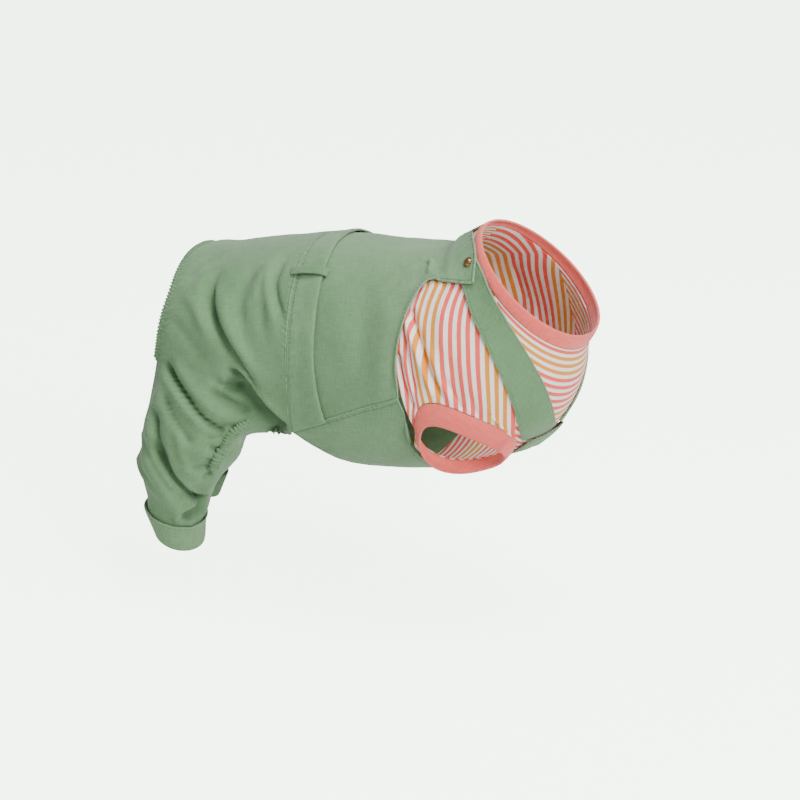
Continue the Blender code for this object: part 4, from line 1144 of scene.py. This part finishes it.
def sleeve_seam(turn):
    """Station and angle of the sleeve's seam: turn 0 at the front, 90 on the belly side, 180 at the rear."""
    a = np.radians(turn)
    return np.stack((SLEEVE_STATION + SLEEVE_RADIUS * np.cos(a),
                     SLEEVE_ANGLE + SLEEVE_SPREAD * np.sin(a) + SLEEVE_SHEAR * np.cos(a)), -1)


def striped(name, points, count, height, nodes):
    """A jersey panel whose stripes are counted by a value at each place."""
    return sew(name, [(points, laid(points), no_seams(points), height, count)], KNIT_WALL, STRIPED,
               "striped_knit",
               nodes)


CHEST_PITCH, CHEST_FIRST, BACK_PITCH = 0.0041, 2.03, 0.0058
# Each row: a pixel height of the photograph, and how far right the marked stripes show there
STRIPE_MARKS = (5.5, 8.5, 10.5, 14.5, 18.5)
STRIPE_ROWS = ((285, 412, 428, 445, 478, 513), (304, 404, 421, 437, 471, 509),
               (357, 399, 415, 433, 468, 506), (410, 408, 424, 439.5, 473, 505))


def stripe_count(pixels):
    """How many stripes of the sleeve lie left of each pixel."""
    marks = at(STRIPE_ROWS, pixels[..., 1])
    wide = np.diff(marks, axis=-1)
    past = pixels[..., :1] - marks[..., :-1]
    past[..., 1:] = np.maximum(past[..., 1:], 0)
    past[..., :-1] = np.minimum(past[..., :-1], wide[..., :-1])
    return STRIPE_MARKS[0] + (np.diff(STRIPE_MARKS) / wide * past).sum(-1)


def jersey_sleeve(name, side, node):
    clear = arc(SEAM_GAP / 2)
    lower = np.vstack((sleeve_seam(np.linspace(SLEEVE_REAR_TURN, SLEEVE_FRONT_TURN + 360, 14)),
                       along(RAGLAN, np.arange(1, 7) / 6)))
    lower = lower - (0, clear)
    upper = np.concatenate((SHIRT_REAR + (SHIRT_MIDDLE - SHIRT_REAR) * np.arange(14) / 13,
                            SHIRT_MIDDLE + (SHIRT_NECK - SHIRT_MIDDLE) * np.arange(1, 7) / 6))
    upper = np.stack((upper, np.full(20, SHOULDER_SEAM + clear)), -1)
    way, v = np.linspace(0, 1, SLEEVE_ROWS), np.linspace(0, 1, SLEEVE_COLUMNS)[None, :, None]
    lower, upper = along(lower, way)[:, None], along(upper, way)[:, None]
    station, angle = np.moveaxis(lower + (upper - lower) * v, -1, 0)
    near = form(station, angle, SHIRT_FACE)
    points = form(station, angle * side, SHIRT_FACE)
    count = stripe_count(seen(near))
    height = drawn(spots(near, BODY_MIDDLE), SLEEVE_FOLDS) * smooth(v[..., 0] / 0.04)
    height = height + 0.0004 * ripple(near, 0.022)
    return striped(name, points, count, height, [node])


def jersey_chest():
    clear = arc(SEAM_GAP / 2)
    edge = np.vstack((sleeve_seam(np.linspace(SLEEVE_REAR_TURN, SLEEVE_FRONT_TURN, 13)),
                      along(RAGLAN, np.arange(1, 7) / 6))) + (0, clear)
    way = np.linspace(0, 1, CHEST_ROWS)
    station, angle = along(edge, way).T[:, :, None]
    centre = (SHIRT_REAR + (SHIRT_NECK - SHIRT_REAR) * way)[:, None]
    v = np.linspace(-1, 1, CHEST_COLUMNS)[None]
    here = centre + (station - centre) * abs(v) ** CHEST_ROUND
    points = form(here, 180 + (180 - angle) * v, SHIRT_FACE)
    count = CHEST_FIRST + here * BACK_LENGTH / CHEST_PITCH
    return striped("jersey_chest", points, count, 0.0005 * ripple(points, 0.02), ["shirt_chest"])


def jersey_back():
    station = np.linspace(SHIRT_REAR, SHIRT_NECK, YOKE_ROWS)[:, None]
    angle = (SHOULDER_SEAM - arc(SEAM_GAP / 2)) * np.linspace(-1, 1, YOKE_COLUMNS)[None]
    points = form(station, angle, SHIRT_FACE)
    count = (station * BACK_LENGTH / BACK_PITCH) + 0 * angle
    return striped("jersey_back", points, count, 0.0003 * ripple(points, 0.02), ["shirt_back"])


def rib_cuff(name, side, node):
    turns = np.linspace(0, 360, RIB_STEPS)[:-1]
    sewn = upright(*sleeve_seam(turns).T, SHIRT_FACE)
    middle = upright(*sleeve_seam(np.arange(0, 360, 15)).T, SHIRT_FACE).mean(axis=0)
    opening = middle + (sewn - middle) * SLEEVE_OPENING_SHARE + np.array(SLEEVE_AXIS) * SLEEVE_BAND
    sewn, opening = sewn * (1, side, 1), opening * (1, side, 1)
    rows = []
    for t in 0.03 + 0.97 * np.linspace(0, 1, RIB_ROWS):
        row = sewn * (1 - t) + opening * t
        rows.append(row + unit(row - row.mean(axis=0)) * (0.0012 * sin(pi * t)))
    points = closed(placed(np.array(rows)))
    inside = placed((sewn.mean(axis=0) + opening.mean(axis=0)) / 2)
    sew(name, [(points, rolled(points), no_seams(points), None)], RIB_WALL, CORAL_RIB, "coral_rib",
        [node], inside)


def rib_collar():
    way, turn = np.linspace(0, 1, COLLAR_ROWS)[:, None], np.linspace(0, 360, COLLAR_STEPS)[None]
    station = SHIRT_NECK + share(SEAM_GAP + NECK_BAND * way)
    points = form(station, turn, SHIRT_FACE + 0.0004 + 0.0008 * np.sin(pi * way))
    points[:, -1] = points[:, 0]
    sew("rib_collar", [(points, rolled(points), no_seams(points), None)], RIB_WALL, CORAL_RIB,
        "coral_rib", ["neck_band"])


# Snaps

def popper(name, side, node):
    """A domed snap cap with a rolled rim, spun round its own axis."""
    angle = SNAP_ANGLE * side
    seat = form(SNAP_STATION, angle, FLAP_FACE + LAYER_GAP)
    out = unit(form(SNAP_STATION, angle, FLAP_FACE + 0.01) - seat)
    ahead = form(SNAP_STATION + 0.01, angle, FLAP_FACE + LAYER_GAP) - seat
    ahead = unit(ahead - out * (ahead @ out))
    radius = SNAP_DIAMETER / 2
    section = ((0.0, 0.0), (0.94, 0.0), (1.0, 0.12), (0.99, 0.26), (0.93, 0.33), (0.87, 0.30), (0.83, 0.34),
               (0.78, 0.52), (0.64, 0.76), (0.42, 0.92), (0.2, 0.99), (0.0, 1.0))
    mesh = bmesh.new()
    line = [mesh.verts.new((radius * x, 0, SNAP_HEIGHT * z)) for x, z in section]
    edges = [mesh.edges.new(pair) for pair in zip(line, line[1:])]
    bmesh.ops.spin(mesh, geom=line + edges, cent=(0, 0, 0), axis=(0, 0, 1), angle=tau, steps=40,
                   use_merge=True)
    bmesh.ops.remove_doubles(mesh, verts=mesh.verts[:], dist=WELD)
    bmesh.ops.recalc_face_normals(mesh, faces=mesh.faces[:])
    turned = Matrix((ahead, np.cross(out, ahead), out)).transposed().to_4x4()
    bmesh.ops.transform(mesh, matrix=Matrix.Translation(Vector(seat)) @ turned, verts=mesh.verts[:])
    as_piece(name, mesh, BRASS, "snap_metal", node)


# Stitching

def stitch(mesh, path, outward, pitch=0.0031, stitch_length=0.0023, thick=0.00026):
    """Stitches one after another along a path of places, lying on the cloth that faces outward there."""
    run = lengths(path[None], 1)[0]
    middles = np.arange(pitch / 2, run[-1], pitch)
    ends = [np.stack([np.interp(middles + off, run, path[:, k]) for k in range(3)], -1)
            for off in (-stitch_length / 2, stitch_length / 2)]
    outs = unit(np.stack([np.interp(middles, run, outward[:, k]) for k in range(3)], -1))
    for start, end, out in zip(ends[0], ends[1], outs):
        ahead = unit(end - start)
        out = unit(out - ahead * (out @ ahead))
        across = np.cross(out, ahead)
        shape = Matrix((ahead * stitch_length / 2, across * thick, out * thick)).transposed().to_4x4()
        place = Matrix.Translation(Vector((start + end) / 2 + out * thick * 0.4))
        bmesh.ops.create_icosphere(mesh, subdivisions=1, radius=1.0, matrix=place @ shape)


def stitched(mesh, station, angle, lift):
    path = form(station, angle, lift)
    stitch(mesh, path, form(station, angle, lift + 0.01) - path)


# Each edge: where its stitching starts and ends, how finely it is laid, how far in, and how high
STITCHED_EDGES = ((ARMHOLE, 0.05, 1, 160, 0.0030, BODICE_FACE + 0.0016),
                  (FLAP_EDGE, 0.06, 0.96, 80, 0.0032, FLAP_FACE + 0.0004))


def topstitching():
    mesh = bmesh.new()
    angle = np.linspace(-117, 117, 400)
    station = at(even(WAISTBAND), abs(angle))[:, 0] + share(0.0022)
    stitched(mesh, station, angle, BAND_FACE - 0.0002)
    for name, side in SIDES:
        for edge, start, end, count, inset, lift in STITCHED_EDGES:
            line = along(edge, np.linspace(start, end, count))
            stitched(mesh, line[:, 0], (line[:, 1] - arc(inset)) * side, lift)
    as_piece("topstitching", mesh, THREAD, "green_cloth")


# The stage: the floor's height and glow, the sky's strength, and each light's place, width and power

FLOOR, FLOOR_HALF, FLOOR_GLOW, SKY = -0.295, 40.0, 5.4, 0.42
LIGHTS = (("overhead", (0.5, -0.2, 1.7), 1.0, 34.0), ("key", (1.8, -1.2, 1.1), 0.8, 52.0),
          ("fill", (-1.3, -1.2, 0.5), 1.4, 1.5))


def stage():
    mesh = bmesh.new()
    bmesh.ops.create_grid(mesh, x_segments=1, y_segments=1, size=FLOOR_HALF,
                          matrix=Matrix.Translation((0, 0, FLOOR)))
    data = bpy.data.meshes.new("pale_floor")
    mesh.to_mesh(data)
    mesh.free()
    floor = bpy.data.objects.new("pale_floor", data)
    bpy.context.scene.collection.objects.link(floor)
    made, tree, shader = new_finish("pale floor", 0.9)
    soft = cloudy(tree, add(tree, "ShaderNodeTexCoord").outputs["Object"], 3.0, 2)
    tree.links.new(blended(tree, soft, linear(236, 241, 234), linear(242, 246, 240)), shader["Base Color"])
    shader["Emission Color"].default_value = linear(234, 250, 231)
    watched = tree.nodes.new("ShaderNodeLightPath").outputs["Is Camera Ray"]
    tree.links.new(times(tree, watched, FLOOR_GLOW), shader["Emission Strength"])
    data.materials.append(made)
    world = bpy.context.scene.world or bpy.data.worlds.new("studio")
    bpy.context.scene.world = world
    world.use_nodes = True
    sky = world.node_tree.nodes["Background"].inputs
    sky["Color"].default_value = (0.92, 0.96, 0.94, 1.0)
    sky["Strength"].default_value = SKY
    for name, place, size, power in LIGHTS:
        light = bpy.data.lights.new(name, "AREA")
        light.shape = "DISK"
        light.size = size
        light.energy = power
        lamp = bpy.data.objects.new(name, light)
        lamp.location = place
        lamp.rotation_euler = (Vector(CAMERA_AT) - Vector(place)).to_track_quat("-Z", "Y").to_euler()
        bpy.context.scene.collection.objects.link(lamp)
    lens = bpy.data.cameras.new("camera")
    lens.lens = CAMERA_LENS
    lens.sensor_width = 36.0
    lens.shift_x, lens.shift_y = CAMERA_SHIFT
    lens.clip_end = 100.0
    camera = bpy.data.objects.new("camera", lens)
    camera.location = CAMERA_FROM
    camera.rotation_euler = (Vector(CAMERA_AT) - Vector(CAMERA_FROM)).to_track_quat("-Z", "Y").to_euler()
    bpy.context.scene.collection.objects.link(camera)
    bpy.context.scene.camera = camera


back_panel()
belly_cloth()
waist_fold()
trousers()
rim_and_inseams()
chest_facing()
jersey_chest()
jersey_back()
rib_collar()
for (side_name, hand), (_, _, leg_cloth) in zip(SIDES, list(legs())):
    turn_up("turn_up_" + side_name, leg_cloth, "cuff_" + side_name)
    belt_loop("loop_" + side_name, hand, "belt_loop_" + side_name)
    shoulder_strap("shoulder_" + side_name, hand, "strap_" + side_name)
    jersey_sleeve("jersey_sleeve_" + side_name, hand, "shirt_sleeve_" + side_name)
    rib_cuff("rib_cuff_" + side_name, hand, "sleeve_band_" + side_name)
    popper("popper_" + side_name, hand, "snap_" + side_name)
topstitching()
stage()
